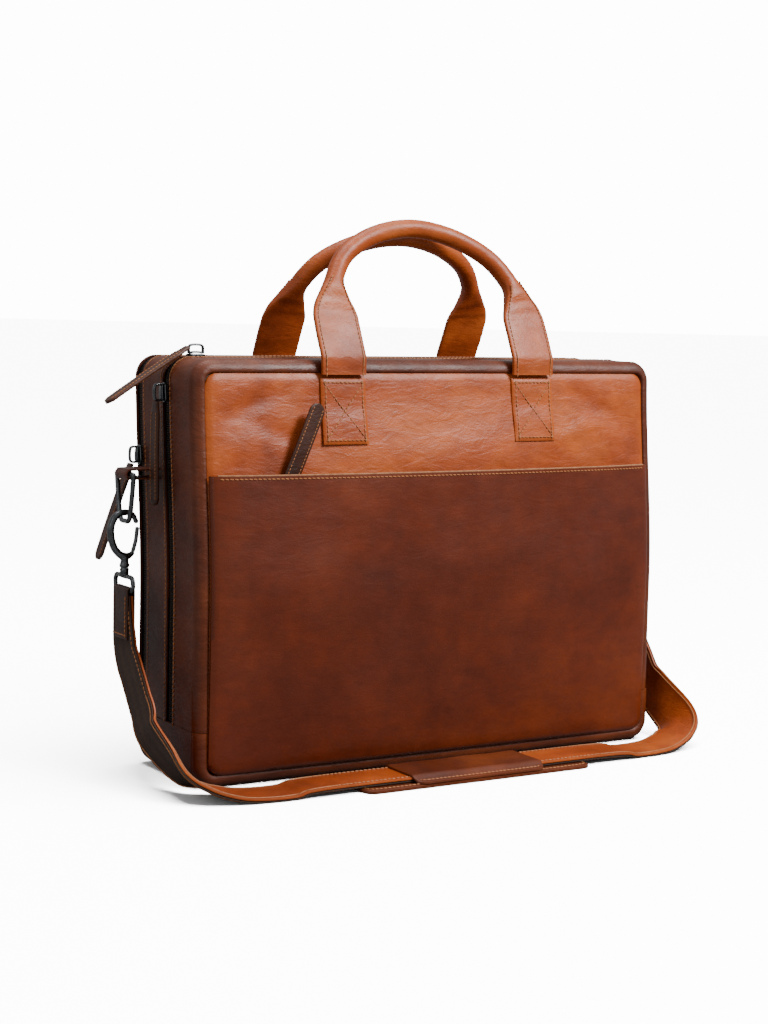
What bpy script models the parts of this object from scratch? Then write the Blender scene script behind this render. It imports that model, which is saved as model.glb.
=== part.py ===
"""Leather briefcase with two zipped compartments, two handles and a clip-on shoulder strap.

Metres, +Z up, +X to the wearer's right as seen from the front, front of the bag towards -Y.
The origin is the middle of the underside that the bag stands on.
"""

import bmesh
import bpy
import numpy as np
from math import ceil, cos, pi, radians, sin
from mathutils import Matrix, Vector

# --- the bag's body -------------------------------------------------------------------------
BODY_WIDTH = 0.400
BODY_DEPTH = 0.100
BODY_HEIGHT = 0.300
CORNER_RADIUS = 0.016
LEATHER = 0.0020  # thickness of the outer leather
BASE_LEATHER = 0.0025  # the bottom panel is thicker
LINING = 0.0010
LINING_SLACK = 0.0009  # the linings hang this far off what they cover
GAP = 0.0003  # air between neighbouring pieces
SIDE_STEP = 0.036  # longest step between grid lines up a side
ROW_STEP = 0.042  # longest step between grid lines up a panel
LEAN_TOP = 0.012  # the filled bag leans back this far at its top edge
LEAN_START = BODY_HEIGHT - 0.170  # height at which the lean begins
END_SEAM_HEIGHT = 0.040  # where the side zips end in the turned-up ends of the bottom
PANEL_FOOT = 0.0035  # height of the lower edge of the front and rear panels
PANEL_CROWN = 0.003  # how far the filled front and rear stand proud in the middle
ARC_STEPS = 4

# --- zips -----------------------------------------------------------------------------------
FRONT_ZIP_Y = -0.05 * BODY_DEPTH
REAR_ZIP_Y = 0.40 * BODY_DEPTH
ZIP_HALF_OPENING = 0.005  # from the row of teeth to the leather's edge
TAPE_REACH = 0.012
TAPE_THICKNESS = 0.0008
TEETH_HALF = 0.0024
TEETH_RISE = 0.0014
SLIDER_LENGTH = 0.014
SLIDER_WIDTH = 0.009
SLIDER_HEIGHT = 0.0035
BRIDGE_WIRE = 0.0010
BRIDGE_RISE = 0.0048
PULL_LENGTH = 0.074
PULL_WIDTH = 0.013
PULL_THICKNESS = 0.0030
SIDE_SLIDER_HEIGHT = BODY_HEIGHT - 0.025
REAR_SLIDER_HEIGHT = BODY_HEIGHT - 0.072
TOP_SLIDER_X = -BODY_WIDTH / 2 + 0.0235
TOP_PULL_DROOP = radians(32)
REAR_PULL_LIFT = radians(20)

# --- front pocket ---------------------------------------------------------------------------
POCKET_TOP = BODY_HEIGHT - 0.0805
POCKET_ROOM = 0.0105  # how far the pocket stands off the panel behind it
POCKET_FULL_HEIGHT = POCKET_TOP - 0.0595  # the pocket reaches its full room at this height
POCKET_ZIP_Z = POCKET_TOP - 0.0075
POCKET_ZIP_REACH = 0.40 * BODY_WIDTH
POCKET_SLIDER_X = -0.83125 * POCKET_ZIP_REACH
POCKET_PULL_TILT = radians(23)
POCKET_PULL_LENGTH = 0.066

# --- inside ---------------------------------------------------------------------------------
BOARD_THICKNESS = 0.0020
DIVIDER_Y = 0.13 * BODY_DEPTH
DIVIDER_THICKNESS = 0.006
SLIP_POCKET_WIDTH = 0.60 * BODY_WIDTH
SLIP_POCKET_LOW = 0.060
SLIP_POCKET_HIGH = BODY_HEIGHT - 0.110

# --- handles --------------------------------------------------------------------------------
HANDLE_X = 0.0825
PATCH_WIDTH = 0.037
HANDLE_PIVOT_Z = BODY_HEIGHT - 0.0105
PATCH_HIGH = HANDLE_PIVOT_Z - 0.0027
PATCH_LOW = PATCH_HIGH - 0.0468
PATCH_THICKNESS = 0.0028
LEG_WIDTH = 0.036
LEG_THICKNESS = 0.0045
GRIP_RADIUS = 0.0070
HANDLE_RISE = 0.1075  # from the pivot to the middle of the grip at its crown
REAR_HANDLE_DROP = 0.006
CROWN_HALF_SPACING = 0.0085
LEG_UPRIGHT = 0.012

# --- rings, hooks and strap -------------------------------------------------------------------
RING_TAB_Y = 0.175 * BODY_DEPTH
RING_STANDOFF = 0.0225
RING_BAR_Z = 0.2165
RING_WIRE = 0.00175
RING_HEIGHT = 0.033
RING_HALF_TOP = 0.014
RING_HALF_FOOT = 0.0075
TAB_WIDTH = 0.020
TAB_LEATHER = 0.0018
HOOK_WIRE = 0.0020
HOOK_TOP_Z = 0.1887
HOOK_BASE_Z = 0.1570
GATE_WIRE = 0.0014
NECK_RADIUS = 0.0027
NECK_FOOT_Z = 0.1490
EYE_WIRE = 0.0017
EYE_HALF_WIDTH = 0.0150
EYE_TOP_Z = 0.1430
EYE_FOOT_Z = 0.1330
STRAP_END_WIDTH = 0.0250
STRAP_END_FOOT = 0.098
STRAP_WIDTH = 0.036
STRAP_LEATHER = 0.0018
STRAP_WEBBING = 0.0012
PAD_LENGTH = 0.195
PAD_MARGIN = 0.009  # how far the pad reaches past the strap on each side
PAD_WIDTH = STRAP_WIDTH + 2 * PAD_MARGIN
PAD_COVER_LENGTH = 0.112
PAD_SOLE = 0.0024
PAD_COVER = 0.0020
PAD_FLANGE = 0.006
STRAP_FRONT_Y = -BODY_DEPTH / 2 - 0.0365
ADJUSTER_Z = 0.072
ADJUSTER_LENGTH = 0.013
ADJUSTER_WALL = 0.0026

COLOURS = {
    "leather": ((0.36, 0.125, 0.035), 0.48, 0.0),
    "dark_leather": ((0.17, 0.055, 0.025), 0.50, 0.0),
    "lining": ((0.10, 0.065, 0.045), 0.85, 0.0),
    "webbing": ((0.13, 0.065, 0.040), 0.85, 0.0),
    "tape": ((0.035, 0.022, 0.016), 0.80, 0.0),
    "gunmetal": ((0.055, 0.058, 0.062), 0.32, 1.0),
}


# --- scene and general builders ---------------------------------------------------------------
def clear_scene():
    for obj in list(bpy.data.objects):
        bpy.data.objects.remove(obj, do_unlink=True)


def make_collection(name):
    collection = bpy.data.collections.new(name)
    bpy.context.scene.collection.children.link(collection)
    return collection


def make_material(name):
    colour, roughness, metallic = COLOURS[name]
    material = bpy.data.materials.new(name)
    material.use_nodes = True
    shader = material.node_tree.nodes["Principled BSDF"]
    shader.inputs["Base Color"].default_value = (*colour, 1.0)
    shader.inputs["Roughness"].default_value = roughness
    shader.inputs["Metallic"].default_value = metallic
    return material


def add_mesh(name, bm, finish, smooth=True):
    bmesh.ops.remove_doubles(bm, verts=bm.verts, dist=1e-6)
    bmesh.ops.recalc_face_normals(bm, faces=bm.faces)
    mesh = bpy.data.meshes.new(name)
    bm.to_mesh(mesh)
    bm.free()
    mesh.materials.append(MATERIALS[finish])
    if smooth:
        mesh.shade_smooth()
        mesh.set_sharp_from_angle(angle=radians(40))
    obj = bpy.data.objects.new(name, mesh)
    PARTS.objects.link(obj)
    return obj


def loft(name, sections, finish):
    """Closes a row of like-numbered loops of points into one solid with flat ends.

    Each side is split along the same diagonal, so that two lofts on one route stay parallel.
    """
    bm = bmesh.new()
    rings = [[bm.verts.new(point) for point in section] for section in sections]
    for before, after in zip(rings, rings[1:]):
        for i in range(len(before)):
            j = (i + 1) % len(before)
            bm.faces.new((before[i], before[j], after[j]))
            bm.faces.new((before[i], after[j], after[i]))
    bm.faces.new(rings[0])
    bm.faces.new(rings[-1])
    return add_mesh(name, bm, finish)


def curve_to_mesh(name, curve, finish, placing):
    """Turns a curve into a mesh with its caps welded, put where `placing` says."""
    helper = bpy.data.objects.new(name + "_curve", curve)
    PARTS.objects.link(helper)
    helper.matrix_world = placing
    bpy.context.view_layer.update()
    graph = bpy.context.evaluated_depsgraph_get()
    mesh = bpy.data.meshes.new_from_object(helper.evaluated_get(graph))
    bm = bmesh.new()
    bm.from_mesh(mesh)
    bm.transform(helper.matrix_world)
    bpy.data.objects.remove(helper, do_unlink=True)
    return add_mesh(name, bm, finish)


def fill_spline(curve, points, cyclic):
    spline = curve.splines.new("POLY")
    spline.points.add(len(points) - 1)
    for target, point in zip(spline.points, points):
        target.co = (*point, 1.0)
    spline.use_cyclic_u = cyclic


def rod(name, points, radius, finish, cyclic=False):
    curve = bpy.data.curves.new(name, "CURVE")
    curve.dimensions = "3D"
    fill_spline(curve, points, cyclic)
    curve.bevel_depth = radius
    curve.bevel_resolution = 1
    curve.use_fill_caps = True
    return curve_to_mesh(name, curve, finish, Matrix.Identity(4))


def slab(name, outlines, thickness, finish, placing):
    """A flat outline (with any holes) in the local XY plane, thickness/2 to each side of it."""
    curve = bpy.data.curves.new(name, "CURVE")
    curve.dimensions = "2D"
    curve.fill_mode = "BOTH"
    curve.extrude = thickness / 2
    for outline in outlines:
        fill_spline(curve, [(x, y, 0.0) for x, y in outline], True)
    return curve_to_mesh(name, curve, finish, placing)


def upright(x, y, z, turn=0.0):
    """Puts a local XY outline up in the XZ plane at x, y, z, turned about Z."""
    return Matrix.Translation((x, y, z)) @ Matrix.Rotation(turn, 4, "Z") @ Matrix.Rotation(pi / 2, 4, "X")


def box(name, low, high, finish):
    bm = bmesh.new()
    bmesh.ops.create_cube(bm, size=1.0)
    size = Vector(high) - Vector(low)
    bmesh.ops.scale(bm, vec=size, verts=bm.verts)
    bmesh.ops.translate(bm, vec=Vector(low) + size / 2, verts=bm.verts)
    return add_mesh(name, bm, finish, smooth=False)


def cylinder(name, centre, radius, length, axis, finish, sides=16):
    bm = bmesh.new()
    bmesh.ops.create_cone(bm, cap_ends=True, segments=sides, radius1=radius, radius2=radius, depth=length)
    turn = Vector((0, 0, 1)).rotation_difference(Vector(axis)).to_matrix().to_4x4()
    bm.transform(Matrix.Translation(centre) @ turn)
    return add_mesh(name, bm, finish)


def combine(first, others, operation):
    """Joins or cuts `first` with the other solids, and keeps only the result."""
    for other in others:
        modifier = first.modifiers.new(operation.lower(), "BOOLEAN")
        modifier.operation = operation
        modifier.object = other
    bpy.context.view_layer.update()
    graph = bpy.context.evaluated_depsgraph_get()
    mesh = bpy.data.meshes.new_from_object(first.evaluated_get(graph))
    first.modifiers.clear()
    first.data = mesh
    for other in others:
        bpy.data.objects.remove(other, do_unlink=True)
    return first


def rounded_rectangle(width, height, radius, steps=ARC_STEPS):
    points = []
    for k, (sx, sy) in enumerate([(1, 1), (-1, 1), (-1, -1), (1, -1)]):
        for step in range(steps + 1):
            angle = (k + step / steps) * pi / 2
            points.append(
                (
                    sx * (width / 2 - radius) + radius * cos(angle),
                    sy * (height / 2 - radius) + radius * sin(angle),
                )
            )
    return points


def smooth_curve(points, per_span):
    """Catmull-Rom curve through the points, with per_span pieces between neighbours."""
    p = np.array(points, float)
    p = np.vstack([2 * p[0] - p[1], p, 2 * p[-1] - p[-2]])
    t = np.linspace(0, 1, per_span, endpoint=False)[:, None]
    spans = []
    for a, b, c, d in zip(p, p[1:], p[2:], p[3:]):
        spans.append(
            0.5 * (2 * b + (c - a) * t + (2 * a - 5 * b + 4 * c - d) * t**2 + (3 * b - a - 3 * c + d) * t**3)
        )
    return np.vstack([*spans, p[-2:-1]])


# --- the bag's form ---------------------------------------------------------------------------
def lean(z):
    """How far back the bag stands at height z: nothing low down, LEAN_TOP at the top."""
    t = min(max((z - LEAN_START) / (BODY_HEIGHT - LEAN_START), 0.0), 1.0)
    return LEAN_TOP * t * t * (3 - 2 * t)


def crown(x, z):
    """Share of the full bulge at x, z: one in the middle, none along the edges."""
    u, v = 2 * x / BODY_WIDTH, 2 * z / BODY_HEIGHT - 1
    return max(0.0, 1 - u * u) * max(0.0, 1 - v * v)


def front_surface(x, z):
    return -BODY_DEPTH / 2 + lean(z) - PANEL_CROWN * crown(x, z)


def rear_surface(x, z):
    return BODY_DEPTH / 2 + lean(z) + PANEL_CROWN * crown(x, z)


def pocket_room(x, z):
    across = max(0.0, 1 - (2 * x / BODY_WIDTH) ** 4)
    return GAP + POCKET_ROOM * across * sin(pi / 2 * min(1.0, z / POCKET_FULL_HEIGHT))


def pocket_surface(x, z):
    """Outer face of the front pocket."""
    return front_surface(x, z) - pocket_room(x, z) - LEATHER


def steps_up(low, high):
    """Grid steps between two heights, so that a taller bag keeps its curve."""
    return ceil((high - low) / SIDE_STEP)


def arch(inset, foot):
    """Points (x, z) up the left side, over the top and down the right, `inset` inside the outside."""
    half, top, radius = BODY_WIDTH / 2 - inset, BODY_HEIGHT - inset, CORNER_RADIUS - inset
    straight = BODY_HEIGHT - CORNER_RADIUS
    side = [(-half, z) for z in np.linspace(foot, straight, steps_up(foot, straight) + 1)]
    turn = [
        (-half + radius - radius * cos(a), top - radius + radius * sin(a))
        for a in np.linspace(0, pi / 2, ARC_STEPS + 1)[1:]
    ]
    left = side + turn + [(-half / 2, top)]
    return left + [(0.0, top)] + [(-x, z) for x, z in reversed(left)]


def arch_band(name, corners, foot, finish):
    """A strip round the sides and top. Its section is a loop of (inset, y) corners; y leans with z."""
    rails = [arch(inset, foot) for inset, _ in corners]
    sections = []
    for k in range(len(rails[0])):
        spot = rails[0][k][1]
        sections.append([(rail[k][0], y + lean(spot), rail[k][1]) for rail, (_, y) in zip(rails, corners)])
    return loft(name, sections, finish)


def leather_band(name, y_low, y_high):
    corners = [(0.0, y_low), (0.0, y_high), (LEATHER, y_high), (LEATHER, y_low)]
    return arch_band(name, corners, END_SEAM_HEIGHT + GAP, "leather")


def zip_half(name, zip_y, side, reach=TAPE_REACH):
    """One tape with its half of the teeth; side is -1 in front of the zip and +1 behind it."""
    outer, inner = LEATHER + GAP, LEATHER + GAP + TAPE_THICKNESS
    middle, teeth = GAP / 2, TEETH_HALF
    corners = [
        (outer - TEETH_RISE, middle),
        (outer - TEETH_RISE, teeth),
        (outer, teeth),
        (outer, reach),
        (inner, reach),
        (inner, middle),
    ]
    return arch_band(name, [(inset, zip_y + side * y) for inset, y in corners], END_SEAM_HEIGHT + GAP, "tape")


def body_rows():
    """Heights of the grid lines that every panel shares, so that layered panels stay parallel."""
    first, last = PANEL_FOOT + CORNER_RADIUS, BODY_HEIGHT - CORNER_RADIUS
    low = np.linspace(first, POCKET_TOP, ceil((POCKET_TOP - first) / ROW_STEP) + 1)
    high = np.linspace(POCKET_TOP, last, ceil((last - POCKET_TOP) / ROW_STEP) + 2)
    return [*low[1:], *high[1:-1]]


def lines_between(low, high, inner, round_low=True, round_high=True):
    """Grid lines from low to high with one more a corner's radius in from each round end."""
    first = low + CORNER_RADIUS if round_low else low
    last = high - CORNER_RADIUS if round_high else high
    spare = CORNER_RADIUS / 4
    between = [z for z in inner if first + spare < z < last - spare]
    ends_low = [low, first] if round_low else [low]
    ends_high = [last, high] if round_high else [high]
    return [*ends_low, *between, *ends_high]


def thicken(bm, thickness):
    """Gives an open sheet its thickness towards +Y."""
    extruded = bmesh.ops.extrude_face_region(bm, geom=list(bm.faces))
    moved = [item for item in extruded["geom"] if isinstance(item, bmesh.types.BMVert)]
    bmesh.ops.translate(bm, vec=(0, thickness, 0), verts=moved)


def panel(name, surface, thickness, width, low, high, finish, columns=8, round_top=True):
    """A crowned sheet: a grid shaped by `surface`, its corners drawn in, then given its thickness."""
    half = width / 2
    lines_x = lines_between(-half, half, np.linspace(-half, half, columns + 1))
    lines_z = lines_between(low, high, body_rows(), True, round_top)
    across, up = len(lines_x) - 1, len(lines_z) - 1
    drawn = CORNER_RADIUS * (1 - cos(pi / 4))
    bm = bmesh.new()
    bmesh.ops.create_grid(bm, x_segments=across, y_segments=up, size=0.5)
    for vert in bm.verts:
        i = round((vert.co.x + 0.5) * across)
        j = round((vert.co.y + 0.5) * up)
        x, z = lines_x[i], lines_z[j]
        if i in (0, across) and (j == 0 or (j == up and round_top)):
            x -= drawn * np.sign(x)
            z += drawn if j == 0 else -drawn
        vert.co = (x, surface(x, z), z)
    thicken(bm, thickness)
    return add_mesh(name, bm, finish)


# --- shells and what is inside ----------------------------------------------------------------
def make_bottom_panel():
    """The floor with its turned-up ends: a U of leather in the XZ plane."""
    half = BODY_WIDTH / 2
    top = END_SEAM_HEIGHT

    def rail(inset):
        radius = CORNER_RADIUS - inset
        turn = [
            (-half + CORNER_RADIUS - radius * cos(a), CORNER_RADIUS - radius * sin(a))
            for a in np.linspace(0, pi / 2, ARC_STEPS + 1)
        ]
        left = [(-half + inset, top)] + turn
        return left + [(-x, z) for x, z in reversed(left)]

    outline = rail(0.0) + rail(BASE_LEATHER)[::-1]
    depth = BODY_DEPTH - 2 * (LEATHER + LINING + 5 * GAP)
    slab("bottom_panel", [outline], depth, "leather", upright(0, 0, 0))
    return depth


def make_base_board(depth):
    half = BODY_WIDTH / 2 - CORNER_RADIUS
    low = BASE_LEATHER + GAP
    box("base_board", (-half, -depth / 2, low), (half, depth / 2, low + BOARD_THICKNESS), "lining")


def make_gussets():
    behind_panel = -BODY_DEPTH / 2 + LEATHER + GAP
    leather_band("front_gusset", behind_panel, FRONT_ZIP_Y - ZIP_HALF_OPENING)
    leather_band("middle_gusset", FRONT_ZIP_Y + ZIP_HALF_OPENING, REAR_ZIP_Y - ZIP_HALF_OPENING)
    leather_band("rear_gusset", REAR_ZIP_Y + ZIP_HALF_OPENING, -behind_panel)
    zip_half("front_zip_outer_tape", FRONT_ZIP_Y, -1)
    zip_half("front_zip_inner_tape", FRONT_ZIP_Y, +1)
    zip_half("rear_zip_inner_tape", REAR_ZIP_Y, -1)
    zip_half("rear_zip_outer_tape", REAR_ZIP_Y, +1, -behind_panel - REAR_ZIP_Y)


def make_panels():
    clear = LEATHER + TAPE_THICKNESS + 4 * GAP
    lining_width = BODY_WIDTH - 2 * (clear + BASE_LEATHER)
    lining_top = BODY_HEIGHT - clear
    lining_foot = PANEL_FOOT + 2 * BASE_LEATHER
    behind = LEATHER + LINING_SLACK
    deeper = behind + LINING + LINING_SLACK
    height = (PANEL_FOOT, BODY_HEIGHT)
    lined = (lining_foot, lining_top)

    def front(back):
        return lambda x, z: front_surface(x, z) + back

    def rear(forward):
        return lambda x, z: rear_surface(x, z) - forward

    panel("front_panel", front(0.0), LEATHER, BODY_WIDTH, *height, "leather", 12)
    panel("front_lining", front(behind), LINING, lining_width, *lined, "lining")
    pocket = (SLIP_POCKET_LOW, SLIP_POCKET_HIGH)
    panel("inner_slip_pocket", front(deeper), LINING, SLIP_POCKET_WIDTH, *pocket, "lining", 6)
    panel("rear_panel", rear(LEATHER), LEATHER, BODY_WIDTH, *height, "leather", 12)
    panel("rear_lining", rear(behind + LINING), LINING, lining_width, *lined, "lining")
    foot = BASE_LEATHER + BOARD_THICKNESS + 2 * GAP
    divider = (foot, lining_top - GAP)
    panel("laptop_divider", lambda x, z: DIVIDER_Y + lean(z), DIVIDER_THICKNESS, lining_width, *divider, "lining")


def make_front_pocket():
    height = (PANEL_FOOT, POCKET_TOP)
    panel("front_pocket", pocket_surface, LEATHER, BODY_WIDTH, *height, "leather", 12, False)
    reach = POCKET_ZIP_REACH
    bm = bmesh.new()
    bmesh.ops.create_grid(bm, x_segments=8, y_segments=1, size=0.5)
    for vert in bm.verts:
        x = vert.co.x * 2 * reach
        z = POCKET_ZIP_Z + vert.co.y * TAPE_REACH
        vert.co = (x, front_surface(x, z) - GAP - TAPE_THICKNESS, z)
    thicken(bm, TAPE_THICKNESS)
    add_mesh("front_pocket_zip_tape", bm, "tape")
    make_pocket_slider()


def pull_outline(length, width):
    """A strip from its square top end at y = 0 down to a round end at y = -length."""
    half = width / 2
    ends = [(-half * cos(a), -length + half - half * sin(a)) for a in np.linspace(0, pi, 7)]
    return [(half, 0.0), (-half, 0.0)] + ends


def make_pocket_slider():
    x, z = POCKET_SLIDER_X, POCKET_ZIP_Z
    crown_depth = front_surface(0.0, z - SLIDER_WIDTH / 2) - 2 * GAP - TAPE_THICKNESS
    half = SLIDER_LENGTH / 2
    body = 0.0013
    box(
        "front_pocket_slider",
        (x - half, crown_depth - body, z - SLIDER_WIDTH / 2),
        (x + half, crown_depth, z + SLIDER_WIDTH / 2),
        "gunmetal",
    )
    pull_back = crown_depth - body - GAP
    thickness = 0.0024
    foot = Matrix.Translation((x, pull_back - thickness / 2, z - 0.003))
    turn = Matrix.Rotation(POCKET_PULL_TILT, 4, "Y")
    flip = Matrix.Rotation(pi / 2, 4, "X") @ Matrix.Rotation(pi, 4, "Z")
    outline = pull_outline(POCKET_PULL_LENGTH, PULL_WIDTH)
    slab("front_pocket_pull", [outline], thickness, "dark_leather", foot @ turn @ flip)


# --- zip sliders and their pulls --------------------------------------------------------------
def make_slider(name, pull_name, placing, droop):
    """A slider with a wire bridge, and a leather pull on it.

    In the slider's own axes it stands on z = 0, runs along x and is SLIDER_WIDTH wide along y.
    The pull leaves the bridge towards -x, turned down from the surface by `droop`.
    """
    half = SLIDER_LENGTH / 2
    block = box(name, (-half, -SLIDER_WIDTH / 2, 0), (half, SLIDER_WIDTH / 2, SLIDER_HEIGHT), "gunmetal")
    top = SLIDER_HEIGHT + BRIDGE_RISE
    arch_points = [
        (half * 0.8, 0, SLIDER_HEIGHT - 0.001),
        (half * 0.75, 0, top - 0.0012),
        (half * 0.4, 0, top),
        (-half * 0.4, 0, top),
        (-half * 0.75, 0, top - 0.0012),
        (-half * 0.8, 0, SLIDER_HEIGHT - 0.001),
    ]
    bridge = rod(name + "_bridge", arch_points, BRIDGE_WIRE, "gunmetal")
    combine(block, [bridge], "UNION")
    block.data.transform(placing)
    block.data.update()
    pivot = Matrix.Translation((-half * 0.75, 0, top - 0.0012))
    turn = Matrix.Rotation(-droop, 4, "Y")
    clear = Matrix.Translation((-BRIDGE_WIRE - GAP - PULL_THICKNESS / 2, 0, 0))
    lay = Matrix.Rotation(-pi / 2, 4, "Z")
    outline = pull_outline(PULL_LENGTH, PULL_WIDTH)
    slab(pull_name, [outline], PULL_THICKNESS, "dark_leather", placing @ pivot @ turn @ clear @ lay)


def side_placing(z, zip_y):
    """Stands a slider on the left side: its own -x points down, its own z points out (-X)."""
    rows = Matrix(((0, 0, -1, 0), (0, 1, 0, 0), (1, 0, 0, 0), (0, 0, 0, 1)))
    return Matrix.Translation((-BODY_WIDTH / 2 - GAP, zip_y + lean(z), z)) @ rows


def top_placing(x, zip_y):
    return Matrix.Translation((x, zip_y + LEAN_TOP, BODY_HEIGHT + GAP))


def make_sliders():
    make_slider(
        "front_zip_side_slider", "front_zip_side_pull", side_placing(SIDE_SLIDER_HEIGHT, FRONT_ZIP_Y), 0.0
    )
    make_slider(
        "rear_zip_side_slider",
        "rear_zip_side_pull",
        side_placing(REAR_SLIDER_HEIGHT, REAR_ZIP_Y),
        -REAR_PULL_LIFT,
    )
    make_slider(
        "front_zip_top_slider", "front_zip_top_pull", top_placing(TOP_SLIDER_X, FRONT_ZIP_Y), TOP_PULL_DROOP
    )


# --- handles ----------------------------------------------------------------------------------
def make_patch(name, x, surface, side):
    """A leather patch that follows the panel; side is -1 on the front and +1 on the rear."""

    def outer_face(px, pz):
        return surface(px, pz) + side * GAP + (side - 1) / 2 * PATCH_THICKNESS

    low, high = PATCH_LOW, PATCH_HIGH
    bm = bmesh.new()
    bmesh.ops.create_grid(bm, x_segments=2, y_segments=3, size=0.5)
    for vert in bm.verts:
        px = x + vert.co.x * PATCH_WIDTH
        pz = (low + high) / 2 + vert.co.y * (high - low)
        vert.co = (px, outer_face(px, pz), pz)
    thicken(bm, PATCH_THICKNESS)
    add_mesh(name, bm, "leather")


def handle_axis_y(surface, side):
    clear = GAP * 2 + LEG_THICKNESS / 2
    return surface(HANDLE_X, HANDLE_PIVOT_Z) + side * clear


def handle_section(centre, along, outward, half_wide, half_thick, squareness):
    """Twelve points of a superellipse across the handle, flat at the legs and round at the grip."""
    across = along.cross(outward).normalized()
    points = []
    for k in range(12):
        a = 2 * pi * k / 12 + pi / 12
        u = abs(cos(a)) ** (2 / squareness) * np.sign(cos(a))
        v = abs(sin(a)) ** (2 / squareness) * np.sign(sin(a))
        points.append(centre + across * (u * half_wide) + outward * (v * half_thick))
    return points


def make_handle(name, surface, side, rise):
    """One strip: flat legs, shoulders that roll up, and a round grip that leans in over the bag."""
    span = HANDLE_X
    pivot_y = handle_axis_y(surface, side)
    crown_y = (front_surface(span, HANDLE_PIVOT_Z) + rear_surface(span, HANDLE_PIVOT_Z)) / 2
    crown_y += side * CROWN_HALF_SPACING
    half_path = [
        (-span, 0.0),
        (-span, 0.016),
        (-span, 0.034),
        (-0.985 * span, 0.052),
        (-0.92 * span, 0.070),
        (-0.74 * span, 0.088),
        (-0.40 * span, 0.102),
    ]
    scale = rise / HANDLE_RISE
    route = half_path + [(0.0, HANDLE_RISE)] + [(-x, z) for x, z in reversed(half_path)]
    flat = smooth_curve(route, 2)
    centres = []
    for x, h in flat:
        share = max(0.0, (h - LEG_UPRIGHT) / (HANDLE_RISE - LEG_UPRIGHT))
        centres.append(Vector((x, pivot_y + (crown_y - pivot_y) * share, HANDLE_PIVOT_Z + h * scale)))
    centres[0].x, centres[-1].x = -span, span
    sections = []
    last = len(centres) - 1
    for k, centre in enumerate(centres):
        along = (centres[min(k + 1, last)] - centres[max(k - 1, 0)]).normalized()
        slope = (crown_y - pivot_y) / rise
        outward = Vector((0.0, -1.0, slope * (1 if centre.z > HANDLE_PIVOT_Z + LEG_UPRIGHT else 0)))
        outward = (outward - along * outward.dot(along)).normalized()
        rolled = min(1.0, max(0.0, (flat[k][1] - 0.040) / 0.030))
        rolled = rolled * rolled * (3 - 2 * rolled)
        wide = (1 - rolled) * LEG_WIDTH / 2 + rolled * GRIP_RADIUS
        thick = (1 - rolled) * LEG_THICKNESS / 2 + rolled * GRIP_RADIUS
        sections.append(handle_section(centre, along, outward, wide, thick, 5 - 3 * rolled))
    loft(name, sections, "leather")


def make_handles():
    for label, surface, side, rise in (
        ("front", front_surface, -1, HANDLE_RISE),
        ("rear", rear_surface, +1, HANDLE_RISE - REAR_HANDLE_DROP),
    ):
        make_patch(label + "_left_handle_patch", -HANDLE_X, surface, side)
        make_patch(label + "_right_handle_patch", HANDLE_X, surface, side)
        make_handle(label + "_handle", surface, side, rise)


# --- rings and hooks --------------------------------------------------------------------------
def hang_x(side):
    return side * (BODY_WIDTH / 2 + RING_STANDOFF)


def hang_y():
    return RING_TAB_Y + lean(RING_BAR_Z)


def make_ring_tab(name, side):
    """A leather loop that stands out from the side and holds the ring's bar in its fold."""
    fold = RING_WIRE + GAP * 2
    outer = fold + TAB_LEATHER
    wall = BODY_WIDTH / 2 + GAP
    reach = BODY_WIDTH / 2 + RING_STANDOFF

    def hairpin(radius):
        nose = [(reach + radius * sin(a), radius * cos(a)) for a in np.linspace(0, pi, 7)]
        return [(wall, radius)] + nose + [(wall, -radius)]

    outline = hairpin(outer)
    hole = [(wall + TAB_LEATHER, fold)] + hairpin(fold)[1:-1] + [(wall + TAB_LEATHER, -fold)]
    mirrored = [[(side * x, z) for x, z in loop] for loop in (outline, hole)]
    slab(name, mirrored, TAB_WIDTH, "leather", upright(0, hang_y(), RING_BAR_Z))


def make_ring(name, side):
    """A closed wire: a straight bar in the tab, drawn in towards the foot that carries the hook."""
    x, y, z = hang_x(side), hang_y(), RING_BAR_Z
    half = [
        (RING_HALF_TOP - 0.002, 0.0),
        (RING_HALF_TOP, -0.003),
        (RING_HALF_FOOT + 0.002, -RING_HEIGHT + 0.006),
        (RING_HALF_FOOT - 0.002, -RING_HEIGHT),
    ]
    loop = half + [(-u, v) for u, v in reversed(half)]
    rod(name, [(x, y + u, z + v) for u, v in loop], RING_WIRE, "gunmetal", cyclic=True)


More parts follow.
